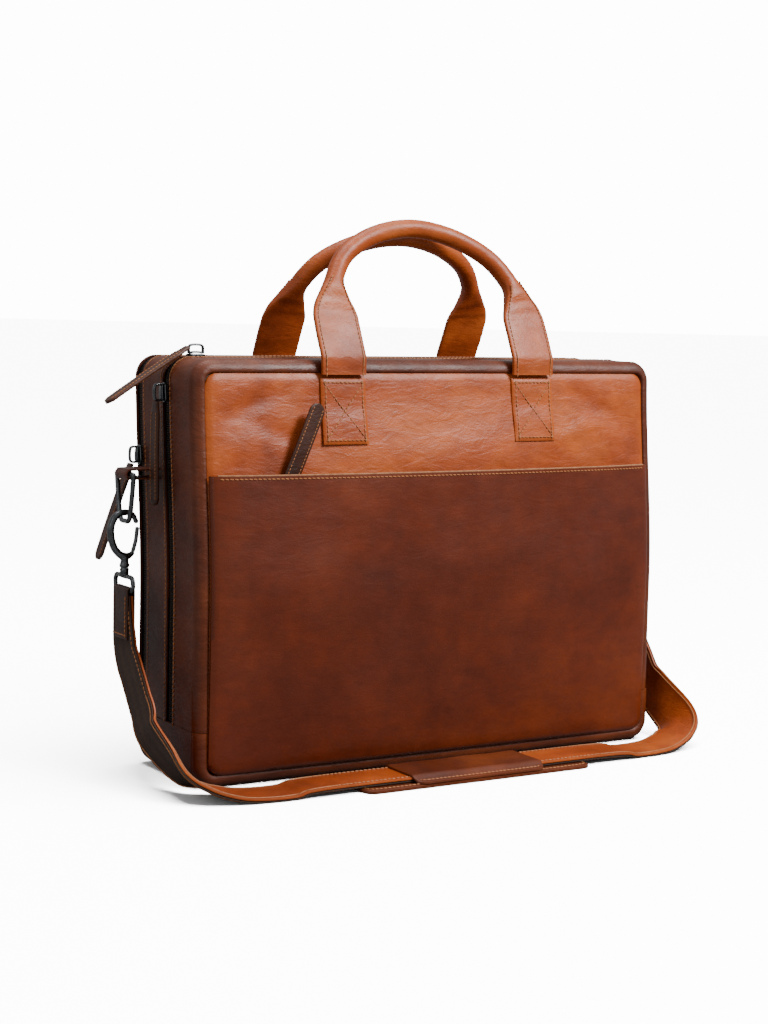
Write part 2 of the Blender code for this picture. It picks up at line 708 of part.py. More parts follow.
def make_hook(name, gate_name, eye_name, side):
    x, y = hang_x(side), hang_y()
    inward = -side
    height = HOOK_TOP_Z - HOOK_BASE_Z
    bow = [
        (0.0088, 0.78),
        (0.0058, 0.94),
        (0.0, 1.0),
        (-0.0066, 0.93),
        (-0.0103, 0.72),
        (-0.0106, 0.47),
        (-0.0082, 0.22),
        (-0.0040, 0.06),
        (0.0, 0.0),
        (0.0036, 0.02),
    ]
    points = [(x + inward * u, y, HOOK_BASE_Z + v * height) for u, v in bow]
    frame = rod(name, points, HOOK_WIRE, "gunmetal")
    neck_high = HOOK_BASE_Z - 0.0010
    neck = cylinder(
        name + "_neck",
        (x, y, (neck_high + NECK_FOOT_Z) / 2),
        NECK_RADIUS,
        neck_high - NECK_FOOT_Z,
        (0, 0, 1),
        "gunmetal",
        12,
    )
    combine(frame, [neck], "UNION")
    gate = [(0.0066, 0.115), (0.0088, 0.40), (0.0096, 0.63)]
    rod(gate_name, [(x + inward * u, y, HOOK_BASE_Z + v * height) for u, v in gate], GATE_WIRE, "gunmetal")
    half, top, foot = EYE_HALF_WIDTH, EYE_TOP_Z, EYE_FOOT_Z
    loop = [(half - 0.002, top), (half, top - 0.002), (half, foot + 0.002), (half - 0.002, foot)]
    loop = loop + [(-u, v) for u, v in reversed(loop)]
    eye = rod(eye_name, [(x, y + u, v) for u, v in loop], EYE_WIRE, "gunmetal", cyclic=True)
    collar_high = NECK_FOOT_Z - GAP
    collar = cylinder(
        eye_name + "_collar",
        (x, y, (collar_high + EYE_TOP_Z) / 2),
        NECK_RADIUS,
        collar_high - EYE_TOP_Z,
        (0, 0, 1),
        "gunmetal",
        12,
    )
    combine(eye, [collar], "UNION")


# --- shoulder strap ---------------------------------------------------------------------------
def strap_half_thickness():
    return (STRAP_LEATHER + GAP + STRAP_WEBBING) / 2


def strap_route():
    """Centre of the strap from the left hook's eye, down, across the floor in front and up again."""
    x = BODY_WIDTH / 2
    hang = RING_STANDOFF
    y0 = hang_y()
    y1 = STRAP_FRONT_Y
    raised = PAD_SOLE + 2 * GAP + strap_half_thickness() + GAP / 3
    low = strap_half_thickness() + GAP
    top = EYE_FOOT_Z - EYE_WIRE - GAP - 0.0012
    right = [
        (PAD_LENGTH / 2 + 0.026, y1, raised),
        (PAD_LENGTH / 2 + 0.050, y1, low),
        (x - 0.030, y1 + 0.0010, low),
        (x - 0.013, y1 + 0.0040, low + 0.0016),
        (x + 0.004, y1 + 0.0095, low + 0.0068),
        (x + 0.0165, y1 + 0.0230, low + 0.0155),
        (x + hang, y0 - 0.0480, 0.0355),
        (x + hang, y0 - 0.0330, 0.0520),
        (x + hang, y0 - 0.0235, 0.0640),
        (x + hang, y0 - 0.0140, 0.0760),
        (x + hang, y0 - 0.0045, 0.0880),
        (x + hang, y0 - 0.0005, 0.1050),
        (x + hang, y0, top),
    ]
    left = [(-px, py, pz) for px, py, pz in reversed(right)]
    return left + [(0.0, y1, raised)] + right


def strap_frames():
    """(centre, side, normal, width) along the strap; the leather is on the normal's side."""
    centres = smooth_curve(strap_route(), 3)
    frames = []
    last = len(centres) - 1
    top = centres[0][2]
    for k, centre in enumerate(centres):
        along = Vector(centres[min(k + 1, last)] - centres[max(k - 1, 0)]).normalized()
        side = Vector((0, 1, 0)) - along * along.y
        side.normalize()
        fold = min(1.0, max(0.0, (top - centre[2]) / (top - STRAP_END_FOOT)))
        width = STRAP_END_WIDTH + (STRAP_WIDTH - STRAP_END_WIDTH) * fold
        frames.append((Vector(centre), side, along.cross(side), width))
    return frames


def strap_layer(name, frames, near, far, finish):
    """One layer of the strap; `near` is the face that lies against the other layer."""
    sections = []
    for centre, side, normal, width in frames:
        edge = side * (width / 2)
        low, high = centre + normal * near, centre + normal * far
        sections.append([low - edge, low + edge, high + edge, high - edge])
    loft(name, sections, finish)


def make_strap():
    frames = strap_frames()
    half = strap_half_thickness()
    strap_layer("strap_leather", frames, half - STRAP_LEATHER, half, "leather")
    strap_layer("strap_webbing", frames, STRAP_WEBBING - half, -half, "webbing")


def make_strap_end(name, side):
    """The leather end folded over the eye's foot, with the strap sewn between its two legs."""
    inner = strap_half_thickness() + GAP
    outer = inner + STRAP_LEATHER
    top, foot = EYE_FOOT_Z, STRAP_END_FOOT

    def hairpin(radius):
        nose = [(-radius * cos(a), top + radius * sin(a)) for a in np.linspace(0, pi, 9)]
        return [(-radius, foot)] + nose + [(radius, foot)]

    outline = hairpin(outer) + hairpin(inner)[::-1]
    slab(name, [outline], STRAP_END_WIDTH, "leather", upright(hang_x(side), hang_y(), 0))


def make_adjuster():
    """A metal frame round the right-hand fall of the strap, free to slide on it."""
    route = strap_frames()
    falls = [f for f in route if f[0].x > BODY_WIDTH / 2]
    centre, side, normal, width = min(falls, key=lambda f: abs(f[0].z - ADJUSTER_Z))
    along = side.cross(normal)
    hole_w = STRAP_WIDTH + 0.0016
    hole_t = 2 * strap_half_thickness() + 0.0016
    outer = rounded_rectangle(hole_w + 2 * ADJUSTER_WALL, hole_t + 2 * ADJUSTER_WALL, 0.002, 2)
    inner = rounded_rectangle(hole_w, hole_t, 0.0005, 1)
    turn = Matrix((side, normal, along)).transposed().to_4x4()
    if turn.determinant() < 0:
        turn = Matrix((side, normal, -along)).transposed().to_4x4()
    slab("strap_adjuster", [outer, inner], ADJUSTER_LENGTH, "gunmetal", Matrix.Translation(centre) @ turn)


def make_shoulder_pad():
    sole_z = GAP + PAD_SOLE / 2
    outline = rounded_rectangle(PAD_LENGTH, PAD_WIDTH, 0.009)
    slab("shoulder_pad_sole", [outline], PAD_SOLE, "leather", Matrix.Translation((0, STRAP_FRONT_Y, sole_z)))
    low = 2 * GAP + PAD_SOLE
    roof = strap_route()[len(strap_route()) // 2][2] + strap_half_thickness() + GAP
    half, channel = PAD_WIDTH / 2, STRAP_WIDTH / 2 + 2 * GAP
    shoulder = half - PAD_FLANGE
    left = [
        (-channel, low),
        (-half, low),
        (-half, low + PAD_COVER),
        (-shoulder, low + PAD_COVER),
        (-channel + 0.002, roof + PAD_COVER),
    ]
    section = left + [(-y, z) for y, z in reversed(left)] + [(channel, roof), (-channel, roof)]
    turn = Matrix.Rotation(pi / 2, 4, "Z") @ Matrix.Rotation(pi / 2, 4, "X")
    place = Matrix.Translation((0, STRAP_FRONT_Y, 0)) @ turn
    slab("shoulder_pad_cover", [section], PAD_COVER_LENGTH, "leather", place)


def build():
    depth = make_bottom_panel()
    make_base_board(depth)
    make_gussets()
    make_panels()
    make_front_pocket()
    make_sliders()
    make_handles()
    for label, side in (("left", -1), ("right", 1)):
        make_ring_tab(label + "_ring_tab", side)
        make_ring(label + "_ring", side)
        make_hook(label + "_snap_hook", label + "_hook_gate", label + "_hook_eye", side)
        make_strap_end("strap_end_" + label, side)
    make_strap()
    make_adjuster()
    make_shoulder_pad()


clear_scene()
PARTS = make_collection("leather_briefcase")
MATERIALS = {name: make_material(name) for name in COLOURS}
build()
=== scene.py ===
"""Leather briefcase: the looks, built round its fixed frame.

Metres, +Z up, the front of the bag towards -Y. Every skin is a grid worked out with numpy.
"""

import bpy
import numpy as np
from mathutils import Matrix, Vector


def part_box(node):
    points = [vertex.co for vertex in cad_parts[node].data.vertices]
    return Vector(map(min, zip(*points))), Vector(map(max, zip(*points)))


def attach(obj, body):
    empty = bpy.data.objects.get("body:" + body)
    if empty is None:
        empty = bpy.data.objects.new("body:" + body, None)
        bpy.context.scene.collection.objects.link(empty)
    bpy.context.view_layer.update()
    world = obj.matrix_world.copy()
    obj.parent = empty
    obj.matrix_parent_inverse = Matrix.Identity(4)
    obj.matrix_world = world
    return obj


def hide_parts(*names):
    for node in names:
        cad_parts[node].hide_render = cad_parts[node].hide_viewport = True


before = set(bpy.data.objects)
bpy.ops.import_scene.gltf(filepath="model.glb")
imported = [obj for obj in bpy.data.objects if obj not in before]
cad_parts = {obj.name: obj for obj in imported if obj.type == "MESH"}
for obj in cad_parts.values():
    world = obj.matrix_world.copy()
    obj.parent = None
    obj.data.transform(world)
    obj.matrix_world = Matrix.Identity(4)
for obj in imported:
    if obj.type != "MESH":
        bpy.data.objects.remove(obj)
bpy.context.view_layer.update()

# --- sizes, as the frame has them ---------------------------------------------------------------
HALF_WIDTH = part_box("bottom_panel")[1].x
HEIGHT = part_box("front_gusset")[1].z
HALF_DEPTH = 0.050
CORNER = 0.016
LEATHER = 0.0020
GAP = 0.0003
LEAN = 0.012
LEAN_START = HEIGHT - 0.170
CROWN = 0.003
PUFF = 0.004
BELLY_Z, BELLY_REACH = 0.232, 0.038
FRONT_ZIP_Y, REAR_ZIP_Y = -0.005, 0.040
ZIP_HALF = 0.005
END_SEAM = 0.0403
SEAM_INSET = 0.009
POCKET_TOP = HEIGHT - 0.0805
PIVOT_Z = HEIGHT - 0.0105
PATCH_HIGH, PATCH_LOW = PIVOT_Z - 0.0027, PIVOT_Z - 0.0495
HANDLE_X = 0.0825
HANG_X = 0.2225
RING_Z = 0.2165
STRAP_Y = -0.0865
SKY_AS_LIGHT, SKY_AS_SEEN = 0.55, 14.0
FLOOR_LIGHT, FLOOR_BOUNCE = 34.0, 0.03


def smooth(t):
    t = np.clip(t, 0.0, 1.0)
    return t * t * (3 - 2 * t)


def lean(z):
    """The bag leans back by a smooth step from LEAN_START to its top."""
    return LEAN * smooth((np.asarray(z, float) - LEAN_START) / (HEIGHT - LEAN_START))


HANG_Y = 0.0175 + float(lean(RING_Z))


def bulge(x, z):
    """One in the middle of a panel and none at its edges: a parabola each way, multiplied."""
    u, v = x / HALF_WIDTH, 2 * z / HEIGHT - 1
    return np.maximum(0, 1 - u * u) * np.maximum(0, 1 - v * v)


def ripple(x, z, waves):
    """Sum of slow sines: each wave is (height, x rate, z rate, phase)."""
    return sum(h * np.sin(a * x + b * z + c) for h, a, b, c in waves)


def dimple(x, z, spots):
    """Sum of soft dents: each spot is (depth, x, z, reach along x, reach along z, turn)."""
    total = 0.0
    for depth, cx, cz, rx, rz, turn in spots:
        c, s = np.cos(turn), np.sin(turn)
        u = ((x - cx) * c + (z - cz) * s) / rx
        w = ((z - cz) * c - (x - cx) * s) / rz
        total = total + depth * np.exp(-u * u - w * w)
    return total


SLOW = [(0.00035, 31, 17, 0.4), (0.00030, -19, 43, 1.9), (0.00022, 61, -37, 4.0)]
UPPER_DENTS = [
    (0.0016, -0.155, 0.268, 0.030, 0.007, 0.45),
    (0.0014, -0.130, 0.247, 0.026, 0.006, -0.35),
    (-0.0010, -0.165, 0.240, 0.020, 0.008, 0.2),
    (0.0012, 0.150, 0.262, 0.032, 0.008, -0.5),
    (-0.0009, 0.118, 0.245, 0.024, 0.007, 0.3),
    (0.0008, 0.0, 0.250, 0.060, 0.010, 0.05),
]


def belly(x, z):
    """One a little under the handle patches, falling to none at the sides, the rim and the pocket's foot."""
    across = np.maximum(0, 1 - (x / HALF_WIDTH) ** 2)
    return across * np.exp(-(((z - BELLY_Z) / BELLY_REACH) ** 2)) * smooth((HEIGHT - SEAM_INSET - z) / 0.045)


def front_surface(x, z):
    """Front face: half the depth out, leaning back, with a crown and a soft belly."""
    return -HALF_DEPTH + lean(z) - CROWN * bulge(x, z) - PUFF * belly(x, z)


def rear_surface(x, z):
    return HALF_DEPTH + lean(z) + CROWN * bulge(x, z)


def pocket_surface(x, z):
    """The pocket stands off the front by a quarter sine up its height, less towards its sides."""
    across = np.maximum(0, 1 - (x / HALF_WIDTH) ** 4)
    room = GAP + 0.0105 * across * np.sin(np.pi / 2 * np.minimum(1.0, z / (POCKET_TOP - 0.0595)))
    return front_surface(x, z) - room - LEATHER


# --- mesh makers --------------------------------------------------------------------------------
def new_piece(name, points, faces, material, uv=None, shade=True):
    mesh = bpy.data.meshes.new(name)
    mesh.from_pydata(points, [], faces)
    if uv is not None:
        layer = mesh.uv_layers.new(name="UVMap")
        index = np.empty(len(mesh.loops), np.int32)
        mesh.loops.foreach_get("vertex_index", index)
        layer.data.foreach_set("uv", np.asarray(uv, np.float32)[index].ravel())
    mesh.materials.append(material)
    mesh.validate()
    if shade:
        mesh.shade_smooth()
        mesh.set_sharp_from_angle(angle=np.radians(50))
    obj = bpy.data.objects.new(name, mesh)
    bpy.context.scene.collection.objects.link(obj)
    return obj


def grid_faces(rows, columns, wrap_rows=False, wrap_columns=False, start=0):
    r = np.arange(rows if wrap_rows else rows - 1)
    c = np.arange(columns if wrap_columns else columns - 1)
    r, c = np.meshgrid(r, c, indexing="ij")
    r2, c2 = (r + 1) % rows, (c + 1) % columns
    quads = np.stack([r * columns + c, r2 * columns + c, r2 * columns + c2, r * columns + c2], -1)
    return (quads.reshape(-1, 4) + start).tolist()


def place(obj, body, slot, *nodes):
    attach(obj, body)
    if nodes:
        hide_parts(*nodes)
    return obj


def shell(name, outer, inner, material, flip=False, wrap=False):
    """A skin with a thickness: an outer and an inner grid of points joined round their edges.

    With wrap the rows close on themselves, so that only the columns' two edges are joined.
    """
    rows, columns = outer.shape[:2]
    count = rows * columns
    points = np.concatenate([outer.reshape(-1, 3), inner.reshape(-1, 3)])
    faces = grid_faces(rows, columns, wrap_rows=wrap)
    faces += [[a + count for a in f[::-1]] for f in faces]
    edge = [np.arange(rows) * columns, np.arange(rows) * columns + columns - 1]
    for k, line in enumerate(edge):
        nxt = np.roll(line, -1) if wrap else line[1:]
        cur = line if wrap else line[:-1]
        quads = np.stack([cur, cur + count, nxt + count, nxt], -1)
        faces += (quads[:, ::-1] if k else quads).tolist()
    if not wrap:
        for k, line in enumerate((np.arange(columns), (rows - 1) * columns + np.arange(columns))):
            quads = np.stack([line[:-1], line[1:], line[1:] + count, line[:-1] + count], -1)
            faces += (quads[:, ::-1] if k else quads).tolist()
    if flip:
        faces = [f[::-1] for f in faces]
    flat = outer.reshape(-1, 3)
    uv = np.stack([flat[:, 0] + flat[:, 1], flat[:, 2]], -1)
    return new_piece(name, points, faces, material, np.concatenate([uv, uv]))


def unit(v):
    return v / np.maximum(np.linalg.norm(v, axis=-1, keepdims=True), 1e-12)


def curve_through(points, per_span=8, closed=False):
    """Catmull-Rom curve through the points."""
    p = np.array(points, float)
    if closed:
        p = np.vstack([p[-1], p, p[:2]])
    else:
        p = np.vstack([2 * p[0] - p[1], p, 2 * p[-1] - p[-2]])
    t = np.linspace(0, 1, per_span, endpoint=False)[None, :, None]
    a, b, c, d = (p[k : len(p) - 3 + k, None] for k in range(4))
    spans = 0.5 * (2 * b + (c - a) * t + (2 * a - 5 * b + 4 * c - d) * t**2 + (3 * b - a - 3 * c + d) * t**3)
    out = spans.reshape(-1, p.shape[1])
    return out if closed else np.vstack([out, p[-2]])


def resample(points, spacing):
    """Points at equal steps along a polyline."""
    p = np.asarray(points, float)
    run = np.concatenate([[0], np.cumsum(np.linalg.norm(np.diff(p, axis=0), axis=1))])
    count = max(2, int(round(run[-1] / spacing)) + 1)
    at = np.linspace(0, run[-1], count)
    return np.stack([np.interp(at, run, p[:, k]) for k in range(p.shape[1])], -1)


def tangents(path, closed=False):
    if closed:
        return unit(np.roll(path, -1, 0) - np.roll(path, 1, 0))
    return unit(np.gradient(path, axis=0))


def sweep(name, path, outward, wide, thick, material, power=2.0, sides=20, closed=False, round_ends=0.0):
    """A superellipse (half sizes wide and thick, exponent power) carried along a path.

    The thick side faces outward. Open ends close on a pole, rounded over round_ends of the path's start.
    """
    path = np.asarray(path, float)
    n = len(path)
    along = tangents(path, closed)
    outward = np.broadcast_to(np.asarray(outward, float), path.shape)
    outward = unit(outward - along * (outward * along).sum(-1, keepdims=True))
    across = np.cross(along, outward)
    wide, thick, power = (np.broadcast_to(np.asarray(v, float), (n,))[:, None] for v in (wide, thick, power))
    a = np.linspace(0, 2 * np.pi, sides, endpoint=False)[None]
    u = np.abs(np.cos(a)) ** (2 / power) * np.sign(np.cos(a)) * wide
    v = np.abs(np.sin(a)) ** (2 / power) * np.sign(np.sin(a)) * thick
    rings = path[:, None] + u[..., None] * across[:, None] + v[..., None] * outward[:, None]
    run = np.concatenate([[0], np.cumsum(np.linalg.norm(np.diff(path, axis=0), axis=1))])
    uv = np.stack(np.broadcast_arrays(np.linspace(0, 1, sides)[None] * 2 * wide, run[:, None]), -1)
    if closed:
        faces = grid_faces(n, sides, True, True)
        return new_piece(name, rings.reshape(-1, 3), faces, material, uv.reshape(-1, 2))
    if round_ends:
        caps = []
        for end, sign in ((0, -1), (-1, 1)):
            steps = np.sin(np.linspace(0, 1, 4)[1:] * np.pi / 2)
            shrink = np.sqrt(np.maximum(0.02, 1 - steps**2))
            middle = path[end]
            ring = middle + (rings[end] - middle)[None] * shrink[:, None, None]
            caps.append(ring + sign * along[end] * round_ends * steps[:, None, None])
        rings = np.concatenate([caps[0][::-1], rings, caps[1]])
        uv = np.concatenate([np.repeat(uv[:1], 3, 0), uv, np.repeat(uv[-1:], 3, 0)])
        n += 6
    faces = grid_faces(n, sides, False, True)
    total = n * sides
    points = np.concatenate([rings.reshape(-1, 3), rings[0].mean(0)[None], rings[-1].mean(0)[None]])
    k = np.arange(sides)
    faces += np.stack([k, (k + 1) % sides, np.full(sides, total)], -1).tolist()
    last = (n - 1) * sides
    faces += np.stack([last + (k + 1) % sides, last + k, np.full(sides, total + 1)], -1).tolist()
    uv = np.concatenate([uv.reshape(-1, 2), uv[0, :1], uv[-1, :1]])
    return new_piece(name, points, faces, material, uv)


def scatter(name, shape, faces, places, material, shade=True):
    """One small shape set at many places. Each place is an origin and its three axes."""
    origin, x, y, z = places
    p = np.asarray(shape, float)
    points = origin[:, None] + p[None, :, :1] * x[:, None]
    points = points + p[None, :, 1:2] * y[:, None] + p[None, :, 2:] * z[:, None]
    base = np.asarray(faces)
    index = (base[None] + np.arange(len(origin))[:, None, None] * len(p)).reshape(-1, base.shape[1])
    return new_piece(name, points.reshape(-1, 3), index.tolist(), material, shade=shade)


def spindle():
    """A thread's visible length: a six-sided ring in three sizes with closed tips."""
    a = np.linspace(0, 2 * np.pi, 6, endpoint=False)
    rings = []
    for x, r in ((-0.5, 0.25), (-0.36, 0.8), (0.0, 1.0), (0.36, 0.8), (0.5, 0.25)):
        rings.append(np.stack([np.full(6, x), r * np.cos(a), r * np.sin(a)], -1))
    points = np.concatenate(rings)
    faces = grid_faces(5, 6, wrap_columns=True)
    tips = [[0, 1, 2, 3], [0, 3, 4, 5], [27, 26, 25, 24], [24, 29, 28, 27]]
    return points, [f[::-1] for f in faces] + tips


SPINDLE, SPINDLE_FACES = spindle()


def stitches(name, lines, body, pitch=0.0034, length=0.0028, radius=0.00050, material=None):
    """Rows of stitches. Each line is (points, outward directions) that the thread lies along."""
    origins, xs, ys, zs = [], [], [], []
    for points, outward in lines:
        points = np.asarray(points, float)
        outward = np.broadcast_to(np.asarray(outward, float), points.shape)
        both = resample(np.hstack([points, outward]), pitch)
        run = both[:, :3]
        along = tangents(run)
        up = unit(both[:, 3:] - along * (both[:, 3:] * along).sum(-1, keepdims=True))
        across = np.cross(along, up)
        slant = 0.10
        along = unit(along + across * slant)
        origins.append(run + up * radius * 0.25)
        xs.append(along * length)
        ys.append(np.cross(up, along) * radius)
        zs.append(up * radius)
    places = [np.concatenate(v) for v in (origins, xs, ys, zs)]
    obj = scatter(name, SPINDLE, SPINDLE_FACES, places, material or THREAD)
    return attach(obj, body)


# --- materials ----------------------------------------------------------------------------------
class Nodes:
    """A small helper that adds shader nodes to one material and links them."""

    def __init__(self, name):
        self.material = bpy.data.materials.new(name)
        self.material.use_nodes = True
        self.tree = self.material.node_tree
        self.shader = self.tree.nodes["Principled BSDF"]
        self.coords = self.tree.nodes.new("ShaderNodeTexCoord")

    def link(self, a, b):
        self.tree.links.new(a, b)

    def stretched(self, scale, turn=(0, 0, 0), source="Object"):
        node = self.tree.nodes.new("ShaderNodeMapping")
        node.inputs["Scale"].default_value = scale
        node.inputs["Rotation"].default_value = turn
        self.link(self.coords.outputs[source], node.inputs["Vector"])
        return node.outputs["Vector"]

    def noise(self, scale, detail=4, rough=0.55, vector=None, distortion=0.0):
        node = self.tree.nodes.new("ShaderNodeTexNoise")
        node.inputs["Scale"].default_value = scale
        node.inputs["Detail"].default_value = detail
        node.inputs["Roughness"].default_value = rough
        node.inputs["Distortion"].default_value = distortion
        self.link(vector or self.coords.outputs["Object"], node.inputs["Vector"])
        return node.outputs["Fac"]

    def cells(self, scale, feature="F1", vector=None):
        node = self.tree.nodes.new("ShaderNodeTexVoronoi")
        node.feature = feature
        node.inputs["Scale"].default_value = scale
        self.link(vector or self.coords.outputs["Object"], node.inputs["Vector"])
        return node.outputs["Distance"]

    def wave(self, scale, direction, vector=None, distortion=0.0):
        node = self.tree.nodes.new("ShaderNodeTexWave")
        node.bands_direction = direction
        node.inputs["Scale"].default_value = scale
        node.inputs["Distortion"].default_value = distortion
        self.link(vector or self.coords.outputs["Object"], node.inputs["Vector"])
        return node.outputs["Fac"]

    def ramp(self, fac, stops):
        node = self.tree.nodes.new("ShaderNodeValToRGB")
        ramp = node.color_ramp
        while len(ramp.elements) < len(stops):
            ramp.elements.new(0.5)
        for element, (position, colour) in zip(ramp.elements, stops):
            element.position = position
            element.color = (*colour, 1) if hasattr(colour, "__len__") else (colour,) * 3 + (1,)
        self.link(fac, node.inputs["Fac"])
        return node.outputs["Color"]

    def mix(self, fac, a, b, blend="MIX"):
        node = self.tree.nodes.new("ShaderNodeMix")
        node.data_type = "RGBA"
        node.blend_type = blend
        for value, socket in ((fac, node.inputs[0]), (a, node.inputs[6]), (b, node.inputs[7])):
            if isinstance(value, bpy.types.NodeSocket):
                self.link(value, socket)
            elif hasattr(value, "__len__"):
                socket.default_value = (*value, 1)
            else:
                socket.default_value = value
        return node.outputs[2]

    def math(self, kind, a, b):
        node = self.tree.nodes.new("ShaderNodeMath")
        node.operation = kind
        for value, socket in ((a, node.inputs[0]), (b, node.inputs[1])):
            if isinstance(value, bpy.types.NodeSocket):
                self.link(value, socket)
            else:
                socket.default_value = value
        return node.outputs[0]

    def bump(self, layers):
        """Bumps stacked one on another: each layer is (height, distance, strength)."""
        normal = None
        for height, distance, strength in layers:
            node = self.tree.nodes.new("ShaderNodeBump")
            node.inputs["Distance"].default_value = distance
            node.inputs["Strength"].default_value = strength
            self.link(height, node.inputs["Height"])
            if normal:
                self.link(normal, node.inputs["Normal"])
            normal = node.outputs["Normal"]
        self.link(normal, self.shader.inputs["Normal"])

    def worn(self, colour, light, amount):
        """Edges rubbed lighter, from the surface's own convexity."""
        geometry = self.tree.nodes.new("ShaderNodeNewGeometry")
        edge = self.ramp(geometry.outputs["Pointiness"], [(0.50, 0.0), (0.60, 1.0)])
        return self.mix(self.math("MULTIPLY", edge, amount), colour, light)


def make_leather(name, dark, middle, light, roughness=(0.36, 0.56), grain=1.0, crease=1.0, specular=0.32):
    """Waxed full-grain leather: clouds of three sizes, pores, hair-fine creases and rubbed edges."""
    n = Nodes(name)
    clouds = n.noise(9, 5, 0.6, distortion=0.4)
    colour = n.ramp(clouds, [(0.30, dark), (0.50, middle), (0.72, light)])
    small = n.ramp(n.noise(70, 4, 0.6), [(0.32, 0.74), (0.66, 1.12)])
    colour = n.mix(0.55, colour, small, "MULTIPLY")
    streaks = n.noise(34, 5, 0.65, n.stretched((1.0, 1.0, 3.2), (0.2, 0.5, 0.3)))
    colour = n.mix(0.35, colour, n.ramp(streaks, [(0.35, 0.70), (0.65, 1.15)]), "MULTIPLY")
    pores = n.cells(1500)
    colour = n.mix(0.20, colour, n.ramp(pores, [(0.0, 0.62), (0.35, 1.0)]), "MULTIPLY")
    colour = n.worn(colour, light, 0.45)
    n.link(colour, n.shader.inputs["Base Color"])
    low, high = roughness
    n.link(n.ramp(n.noise(26, 4), [(0.3, low), (0.7, high)]), n.shader.inputs["Roughness"])
    n.shader.inputs["Specular IOR Level"].default_value = specular
    folds = n.noise(55, 6, 0.62, n.stretched((1.0, 1.0, 2.4), (0.4, 0.7, 0.2)), 0.6)
    plates = n.cells(900, "SMOOTH_F1")
    fine = n.noise(2600, 2, 0.5)
    n.bump(
        [
            (folds, 0.0022, 0.35 * crease),
            (plates, 0.00025, 0.30 * grain),
            (fine, 0.00012, 0.25 * grain),
        ]
    )
    return n.material


def make_metal(name, base, roughness):
    n = Nodes(name)
    haze = n.noise(160, 4)
    n.link(n.ramp(haze, [(0.3, base), (0.7, tuple(1.5 * c for c in base))]), n.shader.inputs["Base Color"])
    dull = n.ramp(n.noise(420, 3), [(0.3, roughness * 0.75), (0.7, roughness * 1.35)])
    n.link(dull, n.shader.inputs["Roughness"])
    n.shader.inputs["Metallic"].default_value = 1.0
    n.bump([(n.noise(900, 2), 0.00008, 0.2)])
    return n.material


def make_weave(name, dark, light, pitch, roughness=0.85, ribs=False, source="UV"):
    """Warp and weft as two crossed waves; ribs makes the warp stand out, as in webbing."""
    n = Nodes(name)
    vector = n.stretched((1, 1, 1), source=source)
    rate = 1 / pitch / 6.2832 * 3.1416
    warp = n.wave(rate, "X", vector, 0.3)
    weft = n.wave(rate * (1.8 if ribs else 1.0), "Y" if source == "UV" else "Z", vector, 0.3)
    if ribs:
        height = n.math("ADD", n.math("MULTIPLY", warp, 0.6), weft)
    else:
        height = n.math("MULTIPLY", warp, weft)
    colour = n.ramp(height, [(0.1, dark), (0.8, light)])
    shade = n.ramp(n.noise(45, 4), [(0.3, 0.7), (0.7, 1.15)])
    n.link(n.mix(0.7, colour, shade, "MULTIPLY"), n.shader.inputs["Base Color"])
    n.shader.inputs["Roughness"].default_value = roughness
    n.bump([(height, 0.0006, 0.6), (n.noise(3000, 2), 0.0002, 0.4)])
    return n.material


def make_plain(name, dark, light, roughness, rate, bump):
    n = Nodes(name)
    n.link(n.ramp(n.noise(rate, 4), [(0.3, dark), (0.7, light)]), n.shader.inputs["Base Color"])
    n.shader.inputs["Roughness"].default_value = roughness
    n.bump([(n.noise(rate * 8, 3), bump, 0.4)])
    return n.material


TAN = make_leather(
    "cognac_leather", (0.120, 0.0165, 0.0010), (0.270, 0.043, 0.0034), (0.43, 0.092, 0.0105), (0.36, 0.52)
)
POCKET = make_leather(
    "smooth_pocket_leather",
    (0.060, 0.0068, 0.0004),
    (0.090, 0.0115, 0.0008),
    (0.128, 0.0195, 0.0018),
    (0.34, 0.48),
    grain=0.6,
    crease=0.45,
)
# The same cognac leather three to four times darker, as painted shade for the sides and gussets; the base,
# the ring tabs and the shoulder pad take it too.
SHADE_DARKENED_LEATHER = make_leather(
    "leather_darkened_by_painted_shade", (0.030, 0.0040, 0.0003), (0.070, 0.0110, 0.0009), (0.135, 0.0260, 0.0030), (0.38, 0.54)
)
DARK = make_leather(
    "dark_stitched_leather", (0.014, 0.0032, 0.0007), (0.036, 0.0080, 0.0018), (0.075, 0.020, 0.0050)
)
RAW = make_plain("raw_cut_edge", (0.16, 0.058, 0.020), (0.30, 0.125, 0.050), 0.8, 300, 0.0002)
THREAD = make_plain("amber_thread", (0.20, 0.060, 0.013), (0.38, 0.135, 0.033), 0.6, 700, 0.0001)
BROWN_THREAD = make_plain("brown_thread", (0.10, 0.035, 0.012), (0.20, 0.07, 0.025), 0.6, 700, 0.0001)
GUNMETAL = make_metal("gunmetal_plating", (0.075, 0.078, 0.082), 0.24)
COIL = make_metal("zip_coil", (0.045, 0.034, 0.028), 0.42)
WEBBING = make_weave("ribbed_webbing", (0.012, 0.0050, 0.0026), (0.050, 0.0215, 0.0110), 0.0020, 0.85, True)
TAPE = make_weave("zip_tape_cloth", (0.010, 0.006, 0.004), (0.040, 0.024, 0.016), 0.0009, 0.9)
LINING = make_weave(
    "cotton_lining", (0.040, 0.024, 0.016), (0.120, 0.078, 0.052), 0.0008, 0.9, False, "Object"
)
BOARD = make_plain("stiffening_board", (0.03, 0.024, 0.02), (0.06, 0.05, 0.04), 0.8, 200, 0.0002)


